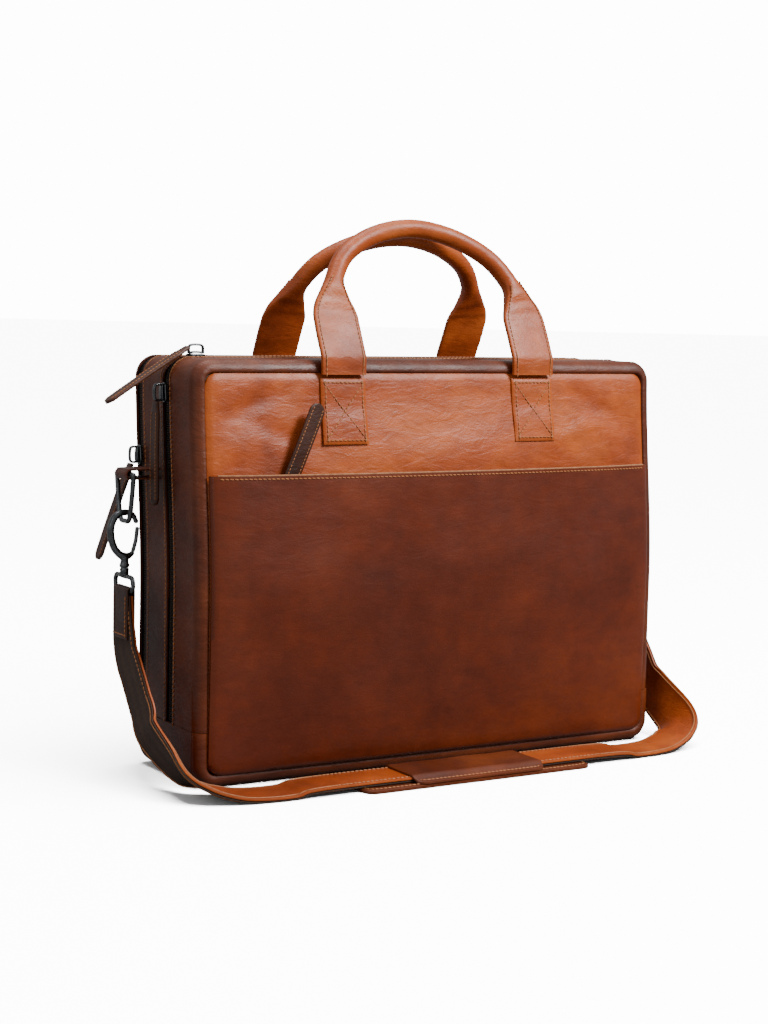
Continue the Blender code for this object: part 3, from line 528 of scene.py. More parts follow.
# --- outline of the body ------------------------------------------------------------------------
def outline(foot, step=0.004, below=False):
    """Points and outward directions round the body in the XZ plane.

    It runs from the left side at height foot over the top to the right; below takes it underneath instead.
    """
    half, radius = HALF_WIDTH, CORNER
    turn = np.linspace(0, np.pi / 2, 11)
    if below:
        side = np.linspace(foot, radius, max(2, int((foot - radius) / step)))
        left = np.stack([np.full(len(side), -half), side], -1)
        bend = np.stack([-half + radius - radius * np.cos(turn), radius - radius * np.sin(turn)], -1)
        flat = np.linspace(-half + radius, half - radius, int(2 * half / step))
        run = np.stack([flat, np.zeros(len(flat))], -1)
    else:
        side = np.linspace(foot, HEIGHT - radius, int((HEIGHT - foot) / step))
        left = np.stack([np.full(len(side), -half), side], -1)
        bend = np.stack([-half + radius - radius * np.cos(turn), HEIGHT - radius + radius * np.sin(turn)], -1)
        flat = np.linspace(-half + radius, half - radius, int(2 * half / step))
        run = np.stack([flat, np.full(len(flat), HEIGHT)], -1)
    mirror = lambda p: (p * (-1, 1))[::-1]
    points = np.vstack([left, bend[1:], run[1:-1], mirror(bend)[:-1], mirror(left)])
    centre = np.clip(points, (-half + radius, radius), (half - radius, HEIGHT - radius))
    outward = points - centre
    flat_side = np.abs(np.abs(points[:, 0]) - half) < 1e-9
    outward[flat_side] = np.stack([np.sign(points[flat_side, 0]), np.zeros(flat_side.sum())], -1)
    return points, unit(outward)


def band_points(rim, section):
    """A section of (inset, y) corners carried round a rim. y leans back with the rim's height."""
    points, outward = rim
    section = np.asarray(section, float)
    inset, y = section[:, 0], section[:, 1]
    flat = points[:, None] - outward[:, None] * inset[None, :, None]
    depth = y[None] + lean(points[:, 1])[:, None]
    return np.stack([flat[..., 0], depth, flat[..., 1]], -1)


def rolled_border(side, edge_y, radius=0.0085, seam=SEAM_INSET, groove=0.0016):
    """Section from the zip edge to the seam on the face: a straight, a quarter round and a dip."""
    start = np.linspace(edge_y, side * (HALF_DEPTH - radius), 10)
    turn_in = start[0] + side * min(0.0008, abs(start[1] - start[0]))
    lip = [(LEATHER * 0.8, start[0]), (0.0005, start[0]), (0.0, turn_in)]
    straight = [(0.00025 * np.sin(np.pi * k / 9), y) for k, y in enumerate(start[2:])]
    a = np.linspace(0, np.pi / 2, 9)[1:]
    bend = [(radius - radius * np.cos(t), side * (HALF_DEPTH - radius + radius * np.sin(t))) for t in a]
    face = [
        (seam - 0.0002, side * (HALF_DEPTH - 0.0002)),
        (seam + 0.0004, side * (HALF_DEPTH - groove * 0.6)),
        (seam + 0.0008, side * (HALF_DEPTH - groove - 0.0004)),
    ]
    return lip + straight + bend + face


def thick_band(name, rim, section, thickness, material, side):
    """A band with an inner face, set in from the section along its own normal."""
    section = np.asarray(section, float)
    along = tangents(section)
    normal = np.stack([-along[:, 1], along[:, 0]], -1) * (1 if side > 0 else -1)
    inner = section + normal * thickness * np.sign(normal[len(normal) // 3, 0])
    inner[:, 0] = np.maximum(inner[:, 0], 0.0004)
    outer_points, inner_points = band_points(rim, section), band_points(rim, inner)
    return shell(name, outer_points, inner_points, material, flip=side > 0)


# --- the soft body ------------------------------------------------------------------------------
SIDES = (("front", -1, front_surface), ("rear", 1, rear_surface))
OVER = outline(END_SEAM)
UNDER = outline(END_SEAM - 0.0003, below=True)


def make_gussets():
    zip_edges = {"front": FRONT_ZIP_Y - ZIP_HALF, "rear": REAR_ZIP_Y + ZIP_HALF}
    for label, side, surface in SIDES:
        body = label + "_section"
        section = rolled_border(side, zip_edges[label], 0.0085 if side < 0 else 0.0045)
        # The gussets take the leather darkened as painted shade.
        over = thick_band(label + "_gusset_leather", OVER, section, 0.0012, SHADE_DARKENED_LEATHER, side)
        place(over, body, "leather", label + "_gusset")
        foot = rolled_border(side, side * (HALF_DEPTH - 0.0072), 0.0065)
        under = thick_band(label + "_foot_border", UNDER, foot, 0.0012, SHADE_DARKENED_LEATHER, side)
        place(under, body, "leather")
    y_low, y_high = FRONT_ZIP_Y + ZIP_HALF, REAR_ZIP_Y - ZIP_HALF
    middle = np.linspace(y_low, y_high, 14)
    soft = 0.0006 * np.sin(np.linspace(0, np.pi, 14))
    lips = [(LEATHER * 0.8, y_low), (0.0005, y_low)], [(0.0005, y_high), (LEATHER * 0.8, y_high)]
    section = [*lips[0], *zip(soft, middle), *lips[1]]
    last = len(section) - 1
    inner = [(inset + (0.0012 if 0 < k < last else 0.0004), y) for k, (inset, y) in enumerate(section)]
    band = shell(
        "middle_gusset_leather",
        band_points(OVER, section),
        band_points(OVER, inner),
        SHADE_DARKENED_LEATHER,
        flip=True,
    )
    place(band, "main_section", "leather", "middle_gusset")


def make_base():
    """The bottom leather with its turned-up ends: the lower outline carried from front to rear."""
    y = np.linspace(-0.0425, 0.0425, 18)
    front, rear = y[0] - 0.0004, y[-1] + 0.0004
    flat = [(0.0, v) for v in y]
    section = [(0.0022, front), (0.0006, front), *flat, (0.0006, rear), (0.0022, rear)]
    inner = [(i + 0.0018 if 1 < k < len(section) - 2 else i + 0.0004, v) for k, (i, v) in enumerate(section)]
    base = shell("bottom_leather", band_points(UNDER, section), band_points(UNDER, inner), SHADE_DARKENED_LEATHER)
    place(base, "main_section", "leather", "bottom_panel")


def face_panel(
    name,
    surface,
    low,
    high,
    material,
    side,
    lift=0.0,
    thickness=0.0016,
    inset=SEAM_INSET,
    dents=None,
    top_open=False,
):
    """A panel inside the seam: a grid over x and z whose edges dip into the seam's groove."""
    half = HALF_WIDTH - inset - 0.0006
    x = np.linspace(-half, half, 150)
    z = np.linspace(low, high, 100)
    X, Z = np.meshgrid(x, z, indexing="ij")
    radius = CORNER - inset + 0.003
    ex = half - np.abs(X)
    ez = np.minimum(Z - low, np.full_like(Z, 1.0) if top_open else high - Z)
    near = np.minimum(ex, ez)
    corner = (ex < radius) & (ez < radius)
    reach = radius - np.hypot(radius - ex, radius - ez)
    near = np.where(corner, reach, near)
    push = np.where(corner & (reach < 0), -reach, 0.0)
    away = np.stack([radius - ex, radius - ez], -1)
    away = unit(away)
    bottom_half = np.abs(Z - low) < np.abs(high - Z)
    X2 = X - np.sign(X) * push * away[..., 0]
    Z2 = Z + np.where(bottom_half, 1, -1) * push * away[..., 1]
    near = np.maximum(near, 0.0)
    dip = 0.0018 * np.exp(-near / 0.0011)
    puff = 0.0006 * smooth(near / 0.012)
    depth = surface(X2, Z2) + side * (puff + lift - dip)
    relief = ripple(X2, Z2, SLOW)
    if dents:
        relief = relief + dimple(X2, Z2, dents)
    depth = depth - side * relief * smooth(near / 0.02)
    outer = np.stack([X2, depth, Z2], -1)
    inner = outer - np.array([0, side * thickness, 0])
    return shell(name, outer, inner, material, flip=side > 0), outer


def make_panels():
    low = SEAM_INSET + 0.0005
    high = HEIGHT - SEAM_INSET - 0.0005
    front, _ = face_panel("front_panel_leather", front_surface, low, high, TAN, -1, dents=UPPER_DENTS)
    place(front, "front_section", "leather", "front_panel")
    rear_dents = [(0.0012, x * 0.9, 0.30 - z * 0.75, a * 1.6, b * 1.8, t) for _, x, z, a, b, t in UPPER_DENTS]
    rear, _ = face_panel("rear_panel_leather", rear_surface, low, high, TAN, 1, dents=rear_dents)
    place(rear, "rear_section", "leather", "rear_panel")


def make_pocket():
    """The front pocket, the raw edge along its hem and the stitch row under it."""
    low = SEAM_INSET + 0.0005
    pocket, outer = face_panel(
        "front_pocket_leather", pocket_surface, low, POCKET_TOP, POCKET, -1, thickness=0.0018, top_open=True
    )
    place(pocket, "front_section", "leather", "front_pocket")
    edge = outer[2:-2, -1]
    path = edge + (0, 0.0009, 0.0002)
    hem = sweep("pocket_raw_edge", path, (0, -1, 0), 0.0007, 0.0011, RAW, 2.5, 10)
    place(hem, "front_section", "leather")
    at = int(100 * (1 - 0.0036 / (POCKET_TOP - low)))
    stitches("pocket_hem_stitches", [(outer[3:-3, at], (0, -1, 0))], "front_section")


make_gussets()
make_base()
make_panels()
make_pocket()


# --- zips ---------------------------------------------------------------------------------------
def zip_side(label, zip_y, side, body, node):
    """One tape with its row of coil teeth; side is -1 in front of the zip and +1 behind it."""
    reach = 0.0085 if zip_y > 0 and side > 0 else 0.0115
    base = LEATHER + GAP
    y = np.linspace(GAP / 2, reach, 6)
    outer = [(base + 0.0002, zip_y + side * v) for v in y]
    inner = [(base + 0.0010, zip_y + side * v) for v in y]
    tape = shell(label + "_cloth", band_points(OVER, outer), band_points(OVER, inner), TAPE, flip=side < 0)
    place(tape, body, "zip_tape", node)
    points, outward = OVER
    rail = resample(np.hstack([points, outward]), 0.00165)
    p, n = rail[:, :2], unit(rail[:, 2:])
    depth = zip_y + side * 0.00105 + lean(p[:, 1])
    spot = p - n * (base - 0.0004)
    origin = np.stack([spot[:, 0], depth, spot[:, 1]], -1)
    up = np.stack([n[:, 0], np.zeros(len(n)), n[:, 1]], -1)
    along = tangents(origin)
    across = np.cross(up, along)
    places = (origin, across * 0.0030, along * 0.00052, up * 0.00062)
    teeth = scatter(label + "_teeth", SPINDLE, SPINDLE_FACES, places, COIL)
    place(teeth, body, "gunmetal")


zip_side("front_zip_outer_tape", FRONT_ZIP_Y, -1, "front_section", "front_zip_outer_tape")
zip_side("front_zip_inner_tape", FRONT_ZIP_Y, 1, "main_section", "front_zip_inner_tape")
zip_side("rear_zip_inner_tape", REAR_ZIP_Y, -1, "main_section", "rear_zip_inner_tape")
zip_side("rear_zip_outer_tape", REAR_ZIP_Y, 1, "rear_section", "rear_zip_outer_tape")


def rim_line(y, rim=OVER, proud=0.0001):
    points, outward = rim
    run = np.stack([points[:, 0], y + lean(points[:, 1]), points[:, 1]], -1)
    up = np.stack([outward[:, 0], np.zeros(len(points)), outward[:, 1]], -1)
    return run + up * proud, up


EDGE = 0.0028
stitches("front_gusset_stitches", [rim_line(FRONT_ZIP_Y - ZIP_HALF - EDGE)], "front_section")
stitches(
    "middle_gusset_stitches",
    [
        rim_line(FRONT_ZIP_Y + ZIP_HALF + EDGE, proud=-0.0003),
        rim_line(REAR_ZIP_Y - ZIP_HALF - EDGE, proud=-0.0003),
    ],
    "main_section",
)


# --- handles ------------------------------------------------------------------------------------
def handle_route(surface, side, rise):
    """Centre line of a handle: upright legs, shoulders and a crown that leans in over the bag."""
    pivot_y = float(surface(HANDLE_X, PIVOT_Z)) + side * (2 * GAP + 0.00225)
    crown_y = float(front_surface(HANDLE_X, PIVOT_Z) + rear_surface(HANDLE_X, PIVOT_Z)) / 2 + side * 0.0085
    s = HANDLE_X
    half = [
        (-s, 0.0),
        (-s, 0.016),
        (-s, 0.034),
        (-0.985 * s, 0.052),
        (-0.92 * s, 0.070),
        (-0.74 * s, 0.088),
        (-0.40 * s, 0.102),
    ]
    full = half + [(0.0, 0.1075)] + [(-x, z) for x, z in reversed(half)]
    flat = resample(curve_through(full, 16), 0.0022)
    share = np.maximum(0, (flat[:, 1] - 0.012) / (0.1075 - 0.012))
    depth = pivot_y + (crown_y - pivot_y) * share
    path = np.stack([flat[:, 0], depth, PIVOT_Z + flat[:, 1] * rise / 0.1075], -1)
    slope = (crown_y - pivot_y) / rise
    tilt = smooth((flat[:, 1] - 0.008) / 0.012)
    outward = np.stack([np.zeros(len(path)), np.full(len(path), float(side)), -side * slope * tilt], -1)
    return path, outward, flat[:, 1]


def make_handles():
    for label, side, surface in SIDES:
        rise = 0.1075 if side < 0 else 0.1015
        path, outward, height = handle_route(surface, side, rise)
        rolled = smooth((height - 0.040) / 0.030)
        taper = 1 + 0.02 * np.sin(height * 60)
        wide = ((1 - rolled) * 0.018 + rolled * 0.0070) * taper
        thick = (1 - rolled) * 0.0021 + rolled * 0.0070
        most_at_change = 1 - np.abs(2 * rolled - 1) ** 2 + 0.25
        crease = 0.00025 * np.sin(height * 900 + 2 * np.sin(height * 170)) * most_at_change
        thick = thick + crease
        body = label + "_handle"
        handle = sweep(body + "_leather", path, outward, wide, thick, TAN, 5.5 - 3.5 * rolled, 40)
        place(handle, body, "leather", body)
        lines = []
        along = tangents(path)
        out = unit(outward - along * (outward * along).sum(-1, keepdims=True))
        across = np.cross(along, out)
        keep = height < 0.066
        first = np.arange(len(height)) < len(height) // 2
        for leg in (keep & first, keep & ~first):
            for edge in (-1, 1):
                reach = (wide - 0.0030)[leg, None]
                line = path[leg] + across[leg] * edge * reach + out[leg] * (thick[leg, None] * 0.97)
                lines.append((line, out[leg]))
        stitches(body + "_stitches", lines, body)


def make_patches():
    """Each patch is a thick leather square that follows the panel, with a boxed cross of stitches."""
    for label, side, surface in SIDES:
        for name, cx in (("left", -HANDLE_X), ("right", HANDLE_X)):
            x = np.linspace(cx - 0.0183, cx + 0.0183, 26)
            z = np.linspace(PATCH_LOW, PATCH_HIGH, 32)
            X, Z = np.meshgrid(x, z, indexing="ij")
            near = np.minimum(0.0183 - np.abs(X - cx), np.minimum(Z - PATCH_LOW, PATCH_HIGH - Z))
            drop = 0.0011 * np.exp(-near / 0.0007)
            face = surface(X, Z) + side * (0.0028 - drop + 0.0002 * np.sin(300 * Z))
            outer = np.stack([X, face, Z], -1)
            back = np.stack([X, surface(X, Z) + side * 0.0004, Z], -1)
            node = f"{label}_{name}_handle_patch"
            patch = shell(node + "_leather", outer, back, TAN, flip=side > 0)
            place(patch, label + "_section", "leather", node)

            def on(u, v):
                px = cx + np.asarray(u) * 0.0152
                pz = (PATCH_LOW + PATCH_HIGH) / 2 + np.asarray(v) * 0.0205
                return np.stack([px, surface(px, pz) + side * 0.0029, pz], -1)

            t = np.linspace(-1, 1, 12)
            o = np.ones(12)
            box = [on(t, o), on(t, -o), on(o, t), on(-o, t)]
            cross = [on(t, t * 0.92), on(t, -t * 0.92)]
            lines = [(line, (0, side, 0)) for line in box + cross]
            stitches(node + "_stitches", lines, label + "_section")


make_handles()
make_patches()


# --- zip sliders and pulls ------------------------------------------------------------------------
def placed(points, matrix):
    """Points turned and moved by a 4 by 4 matrix."""
    m = np.array(matrix)
    return np.asarray(points, float) @ m[:3, :3].T + m[:3, 3]


def strip(name, length, matrix, material, body, node, thick=0.0026, width=0.0122):
    """A leather pull: a round free end, a waist at the loop and stitches round its edge."""
    y = np.linspace(0.0, length, 60)
    tip = np.sqrt(np.clip((length - y) / (width / 2), 0, 1) * (2 - np.clip((length - y) / (width / 2), 0, 1)))
    neck = 0.62 + 0.38 * smooth(y / 0.012)
    half = width / 2 * np.minimum(np.maximum(tip, 0.12), neck)
    bend = 0.0006 * np.sin(y / length * np.pi)
    path = placed(np.stack([np.zeros(60), y, bend], -1), matrix)
    up = np.array(matrix)[:3, :3] @ (0, 0, 1)
    obj = sweep(name, path, up, half, thick / 2, material, 4.5, 28)
    place(obj, body, "dark_leather", node)
    lines = []
    inner = (y > 0.008) & (y < length - 0.004)
    for face in (-1, 1):
        for edge in (-1, 1):
            local = np.stack([edge * (half - 0.0021)[inner], y[inner], bend[inner] + face * thick * 0.49], -1)
            lines.append((placed(local, matrix), up * face))
    stitches(name + "_stitches", lines, body, pitch=0.0026, length=0.0020, radius=0.00034)


def slider(name, matrix, body, node):
    """A cast slider: a waisted body on two flanges and a bridge."""
    x = np.linspace(-0.0070, 0.0070, 30)
    taper = 0.0045 - 0.0012 * smooth((x + 0.007) / 0.014)
    rim = np.sqrt(np.clip(1 - (np.abs(x) / 0.0071) ** 6, 0.05, 1))
    low = placed(np.stack([x, 0 * x, 0 * x + 0.0010], -1), matrix)
    up = np.array(matrix)[:3, :3] @ (0, 0, 1)
    plate = sweep(name + "_plate", low, up, taper * rim, 0.0010 * rim, GUNMETAL, 3.5, 24)
    place(plate, body, "gunmetal", node)
    crown = placed(np.stack([x * 0.9, 0 * x, 0.0022 + 0.0010 * np.cos(x / 0.007 * 1.3)], -1), matrix)
    top = sweep(name + "_crown", crown, up, taper * 0.72 * rim, 0.0008 * rim, GUNMETAL, 2.6, 20)
    place(top, body, "gunmetal")
    rise = [(0.0056, 0, 0.0025), (0.0053, 0, 0.0070), (0.0028, 0, 0.0083)]
    arch = rise + [(-x_out, 0, z) for x_out, _, z in reversed(rise)]
    path = placed(curve_through(arch, 6), matrix)
    side = np.array(matrix)[:3, :3] @ (0, 1, 0)
    bridge = sweep(name + "_bridge", path, side, 0.0009, 0.0015, GUNMETAL, 3.0, 14)
    place(bridge, body, "gunmetal")


def rows(a, b, c, origin):
    """A matrix whose columns are the three axes and the origin."""
    return Matrix((*zip(a, b, c, origin), (0, 0, 0, 1)))


def side_place(z, zip_y):
    """Local +x up, local +z out to the left."""
    return rows((0, 0, 1), (0, 1, 0), (-1, 0, 0), (-HALF_WIDTH - GAP, zip_y + float(lean(z)), z))


SIDE_Z, REAR_Z, TOP_X = HEIGHT - 0.025, HEIGHT - 0.072, -HALF_WIDTH + 0.0235
TOP_PLACE = rows((1, 0, 0), (0, 1, 0), (0, 0, 1), (TOP_X, FRONT_ZIP_Y + LEAN, HEIGHT + GAP))
PULLS = (
    ("front_zip_side", side_place(SIDE_Z, FRONT_ZIP_Y), 0.0),
    ("rear_zip_side", side_place(REAR_Z, REAR_ZIP_Y), -20.0),
    ("front_zip_top", TOP_PLACE, 32.0),
)
for label, matrix, droop in PULLS:
    slider(label + "_slider_metal", matrix, label + "_slider", label + "_slider")
    pivot = Matrix.Translation((-0.00525, 0, 0.0071))
    turn = Matrix.Rotation(np.radians(-droop), 4, "Y")
    lay = Matrix.Translation((-0.0013, 0, 0)) @ Matrix.Rotation(np.pi / 2, 4, "Z")
    hung = matrix @ pivot @ turn @ lay
    strip(label + "_pull_leather", 0.0735, hung, DARK, label + "_pull", label + "_pull")


def make_pocket_zip():
    """The slider of the hidden zip and its dark pull, which leans to the right."""
    low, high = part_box("front_pocket_slider")
    x = np.linspace(low.x, high.x, 20)
    y = 0 * x + (low.y + high.y) / 2
    z = 0 * x + (low.z + high.z) / 2
    rim = np.sqrt(np.clip(1 - (np.abs(np.linspace(-1, 1, 20)) * 0.99) ** 6, 0.05, 1))
    path = np.stack([x, y, z], -1)
    plate = sweep(
        "front_pocket_slider_metal", path, (0, -1, 0), 0.0043 * rim, 0.0009 * rim, GUNMETAL, 3, 20
    )
    place(plate, "front_pocket_slider", "gunmetal", "front_pocket_slider")
    tilt = np.radians(23)
    up = (float(np.sin(tilt)), 0.0, float(np.cos(tilt)))
    across = (float(np.cos(tilt)), 0.0, -float(np.sin(tilt)))
    pull_y = (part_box("front_pocket_pull")[0].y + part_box("front_pocket_pull")[1].y) / 2
    matrix = rows(across, up, (0, -1, 0), (-0.133, pull_y, 0.209))
    strip("front_pocket_pull_leather", 0.0655, matrix, DARK, "front_pocket_pull", "front_pocket_pull", 0.0023)


make_pocket_zip()


# --- rings, hooks and their leather ----------------------------------------------------------------
def loop_sheet(name, outline_xz, y, half_width, thickness, material):
    """A leather strip seen edge on: a line in the XZ plane, as wide as 2 half_width along Y."""
    line = resample(curve_through(outline_xz, 8), 0.0012)
    path = np.stack([line[:, 0], np.full(len(line), y), line[:, 1]], -1)
    along = tangents(path)
    outward = np.cross((0, 1, 0), along)
    return sweep(name, path, outward, half_width, thickness / 2, material, 5.0, 24)


def make_side(label, s):
    x, y = s * HANG_X, HANG_Y
    wall = s * (HALF_WIDTH + 0.0007)
    r = 0.0032
    nose = [(x + s * r * np.sin(a), RING_Z + r * np.cos(a)) for a in np.linspace(0, np.pi, 7)]
    fold = [(wall, RING_Z + r), *nose, (wall, RING_Z - r)]
    tab = loop_sheet(label + "_ring_tab_leather", fold, y, 0.0098, 0.0017, SHADE_DARKENED_LEATHER)
    place(tab, "main_section", "leather", label + "_ring_tab")
    half = [(0.0120, 0.0), (0.0140, -0.0030), (0.0100, -0.0250), (0.0066, -0.0330), (0.0, -0.0338)]
    loop = half + [(-u, v) for u, v in reversed(half[:-1])]
    wire = resample(curve_through(loop, 8, closed=True), 0.0011)
    path = np.stack([np.full(len(wire), x), y + wire[:, 0], RING_Z + wire[:, 1]], -1)[:-1]
    ring = sweep(label + "_ring_metal", path, (1, 0, 0), 0.0018, 0.0018, GUNMETAL, 2.2, 16, closed=True)
    place(ring, label + "_ring", "gunmetal", label + "_ring")
    high, base = 0.1887, 0.1570
    bow = [
        (0.0088, 0.78), (0.0058, 0.94), (0.0, 1.0), (-0.0066, 0.93), (-0.0103, 0.72), (-0.0106, 0.47),
        (-0.0082, 0.22), (-0.0040, 0.06), (0.0, 0.0), (0.0036, 0.02), (0.0060, 0.07),
    ]  # fmt: skip
    inward = -s
    points = curve_through([(x + inward * u, y, base + v * (high - base)) for u, v in bow], 8)
    share = np.linspace(0, 1, len(points))
    knuckle = 0.0006 * np.exp(-(((share - 0.8) / 0.1) ** 2))
    girth = 0.0017 + 0.0009 * np.sin(np.pi * np.clip(share, 0, 1)) + knuckle
    hook = sweep(
        label + "_hook_metal", points, (0, 1, 0), girth, girth * 1.05, GUNMETAL, 2.3, 18, round_ends=0.0014
    )
    place(hook, label + "_snap_hook", "gunmetal", label + "_snap_hook")
    z = np.array([0.1492, 0.1500, 0.1512, 0.1530, 0.1545, 0.1556, 0.1570])
    size = np.array([0.0030, 0.0037, 0.0037, 0.0030, 0.0030, 0.0036, 0.0030])
    neck = np.stack([np.full(7, x), np.full(7, y), z], -1)
    post = sweep(label + "_hook_neck", neck, (0, 1, 0), size, size, GUNMETAL, 2.0, 20)
    place(post, label + "_snap_hook", "gunmetal")
    bar = ((0.0064, 0.115), (0.0086, 0.36), (0.0097, 0.64))
    gate_line = curve_through([(x + inward * u, y, base + v * (high - base)) for u, v in bar], 8)
    gate = sweep(
        label + "_gate_metal", gate_line, (0, 1, 0), 0.0014, 0.0018, GUNMETAL, 2.4, 14, round_ends=0.0008
    )
    place(gate, label + "_hook_gate", "gunmetal", label + "_hook_gate")
    half, top, foot = 0.0150, 0.1430, 0.1330
    turn = 0.003
    eye = [(0, top), (half - turn, top), (half, top - turn)]
    eye += [(half, foot + turn), (half - turn, foot), (0, foot)]
    eye = eye + [(-u, v) for u, v in reversed(eye[1:-1])]
    wire = resample(curve_through(eye, 6, closed=True), 0.0011)[:-1]
    path = np.stack([np.full(len(wire), x), y + wire[:, 0], wire[:, 1]], -1)
    frame_eye = sweep(label + "_eye_metal", path, (1, 0, 0), 0.0017, 0.0017, GUNMETAL, 2.4, 14, closed=True)
    place(frame_eye, "main_section", "gunmetal", label + "_hook_eye")
    collar = np.stack([np.full(5, x), np.full(5, y), np.array([0.1425, 0.1440, 0.1462, 0.1480, 0.1488])], -1)
    size = (0.0030, 0.0032, 0.0032, 0.0034, 0.0030)
    ring_collar = sweep(label + "_eye_collar", collar, (0, 1, 0), size, size, GUNMETAL, 2.0, 18)
    place(ring_collar, "main_section", "gunmetal")


for label, s in (("left", -1), ("right", 1)):
    make_side(label, s)


# --- shoulder strap ---------------------------------------------------------------------------------
def strap_line():
    """Centre of the strap from one hook's eye down across the floor in front to the other."""
    x, hang, y0, y1 = HALF_WIDTH, 0.0225, HANG_Y, STRAP_Y
    half_thick = 0.00165
    raised = 0.0024 + 2 * GAP + half_thick + GAP / 3
    low = half_thick + GAP
    top = 0.1330 - 0.0017 - GAP - 0.0012
    right = [
        (0.1235, y1, raised),
        (0.1475, y1, low),
        (x - 0.030, y1 + 0.0010, low),
        (x - 0.013, y1 + 0.0040, low + 0.0016),
        (x + 0.004, y1 + 0.0095, low + 0.0068),
        (x + 0.0165, y1 + 0.0230, low + 0.0155),
        (x + hang, y0 - 0.0480, 0.0355),
        (x + hang, y0 - 0.0330, 0.0520),
        (x + hang, y0 - 0.0235, 0.0640),
        (x + hang, y0 - 0.0140, 0.0760),
        (x + hang, y0 - 0.0045, 0.0880),
        (x + hang, y0 - 0.0005, 0.1050),
        (x + hang, y0, top),
    ]
    left = [(-px, py, pz) for px, py, pz in reversed(right)]
    centre = resample(curve_through(left + [(0.0, y1, raised)] + right, 12), 0.0024)
    along = tangents(centre)
    side = unit(np.array((0, 1, 0)) - along * along[:, 1:2])
    normal = np.cross(along, side)
    fold = np.clip((top - centre[:, 2]) / (top - 0.098), 0, 1)
    half = (0.0125 + 0.0055 * fold)[:, None]
    return centre, side, normal, half


def make_strap():
    centre, side, normal, half = strap_line()
    layers = (
        ("strap_leather_face", 0.00075, 0.0009, TAN, "leather", "strap_leather", 1.0),
        ("strap_webbing_back", -0.00105, 0.0006, WEBBING, "webbing", "strap_webbing", 0.985),
    )
    for name, offset, half_thick, material, slot, node, share in layers:
        path = centre + normal * offset
        obj = sweep(name, path, normal, half[:, 0] * share, half_thick, material, 7.0, 28)
        place(obj, "main_section", slot, node)
    inner = slice(2, -2)
    lines = []
    for edge in (-1, 1):
        for face in (-1, 1):
            line = centre + side * edge * (half - 0.0026) + normal * face * 0.00172
            above_floor = line[:, 2] > 0.0022
            starts = np.nonzero(np.diff(above_floor))[0] + 1
            for run in np.split(np.arange(len(line))[inner], np.clip(starts - 2, 0, None)):
                if len(run) > 3 and above_floor[run[1]]:
                    lines.append((line[run], (normal * face)[run]))
    stitches("strap_stitches", lines, "main_section", pitch=0.0036, length=0.0028)


def make_strap_ends():
    for label, s in (("left", -1), ("right", 1)):
        x = s * HANG_X
        low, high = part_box("strap_end_" + label)
        foot, top = 0.0985, high.z - 0.0038
        r = 0.0026
        nose = [(x - r * np.cos(a), top + r * np.sin(a)) for a in np.linspace(0, np.pi, 7)]
        fold = [(x - r, foot), (x - r, 0.115), *nose, (x + r, 0.115), (x + r, foot)]
        tab = loop_sheet("strap_end_leather_" + label, fold, HANG_Y, 0.0124, 0.0017, DARK)
        place(tab, "main_section", "leather", "strap_end_" + label)
        lines = []
        z = np.linspace(foot + 0.003, 0.128, 14)
        for face in (-1, 1):
            xs = np.full(14, x + face * (r + 0.0009))
            for edge in (-1, 1):
                lines.append((np.stack([xs, np.full(14, HANG_Y + edge * 0.0100), z], -1), (face, 0, 0)))
            yy = np.linspace(HANG_Y - 0.0095, HANG_Y + 0.0095, 8)
            row = np.stack([np.full(8, x + face * (r + 0.0009)), yy, np.full(8, foot + 0.003)], -1)
            lines.append((row, (face, 0, 0)))
        stitches("strap_end_stitches_" + label, lines, "main_section")


def make_pad():
    """The sole is one flat oval-cornered leather; the cover is arched over the strap and sewn down."""
    for name, length, width, z0, thick, node in (
        ("shoulder_pad_sole_leather", 0.195, 0.054, GAP, 0.0024, "shoulder_pad_sole"),
        ("shoulder_pad_cover_leather", 0.112, 0.054, 0.0031, 0.0020, "shoulder_pad_cover"),
    ):
        x = np.linspace(-length / 2, length / 2, 120)
        v = np.linspace(-1, 1, 40)
        X, V = np.meshgrid(x, v, indexing="ij")
        r = 0.009
        end = np.clip(length / 2 - np.abs(X), 0, r)
        half = width / 2 - (r - np.sqrt(np.maximum(0, r * r - (r - end) ** 2)))
        Y = V * half
        near = np.minimum(half - np.abs(Y), length / 2 - np.abs(X))
        rim = 0.0006 * np.exp(-np.maximum(near, 0) / 0.0006)
        hump = np.zeros_like(X)
        if "cover" in name:
            hump = 0.0034 * smooth((0.0245 - np.abs(Y)) / 0.0075)
            hump = hump + 0.0002 * np.sin(140 * X) * smooth(near / 0.01)
        top = np.stack([X, STRAP_Y + Y, z0 + thick + hump - rim], -1)
        bottom = np.stack([X, STRAP_Y + Y, z0 + hump], -1)
        obj = shell(name, top, bottom, SHADE_DARKENED_LEATHER, flip=False)
        place(obj, "shoulder_pad", "leather", node)
        inset = 0.0032
        ex, ey = length / 2 - inset, width / 2 - inset
        a = np.linspace(0, 2 * np.pi, 160)
        cx = np.sign(np.cos(a)) * ex * np.abs(np.cos(a)) ** 0.12
        cy = np.sign(np.sin(a)) * ey * np.abs(np.sin(a)) ** 0.12
        line = np.stack([cx, STRAP_Y + cy, np.full(160, z0 + thick + 0.0001)], -1)
        stitches(name + "_stitches", [(line, (0, 0, 1))], "shoulder_pad")


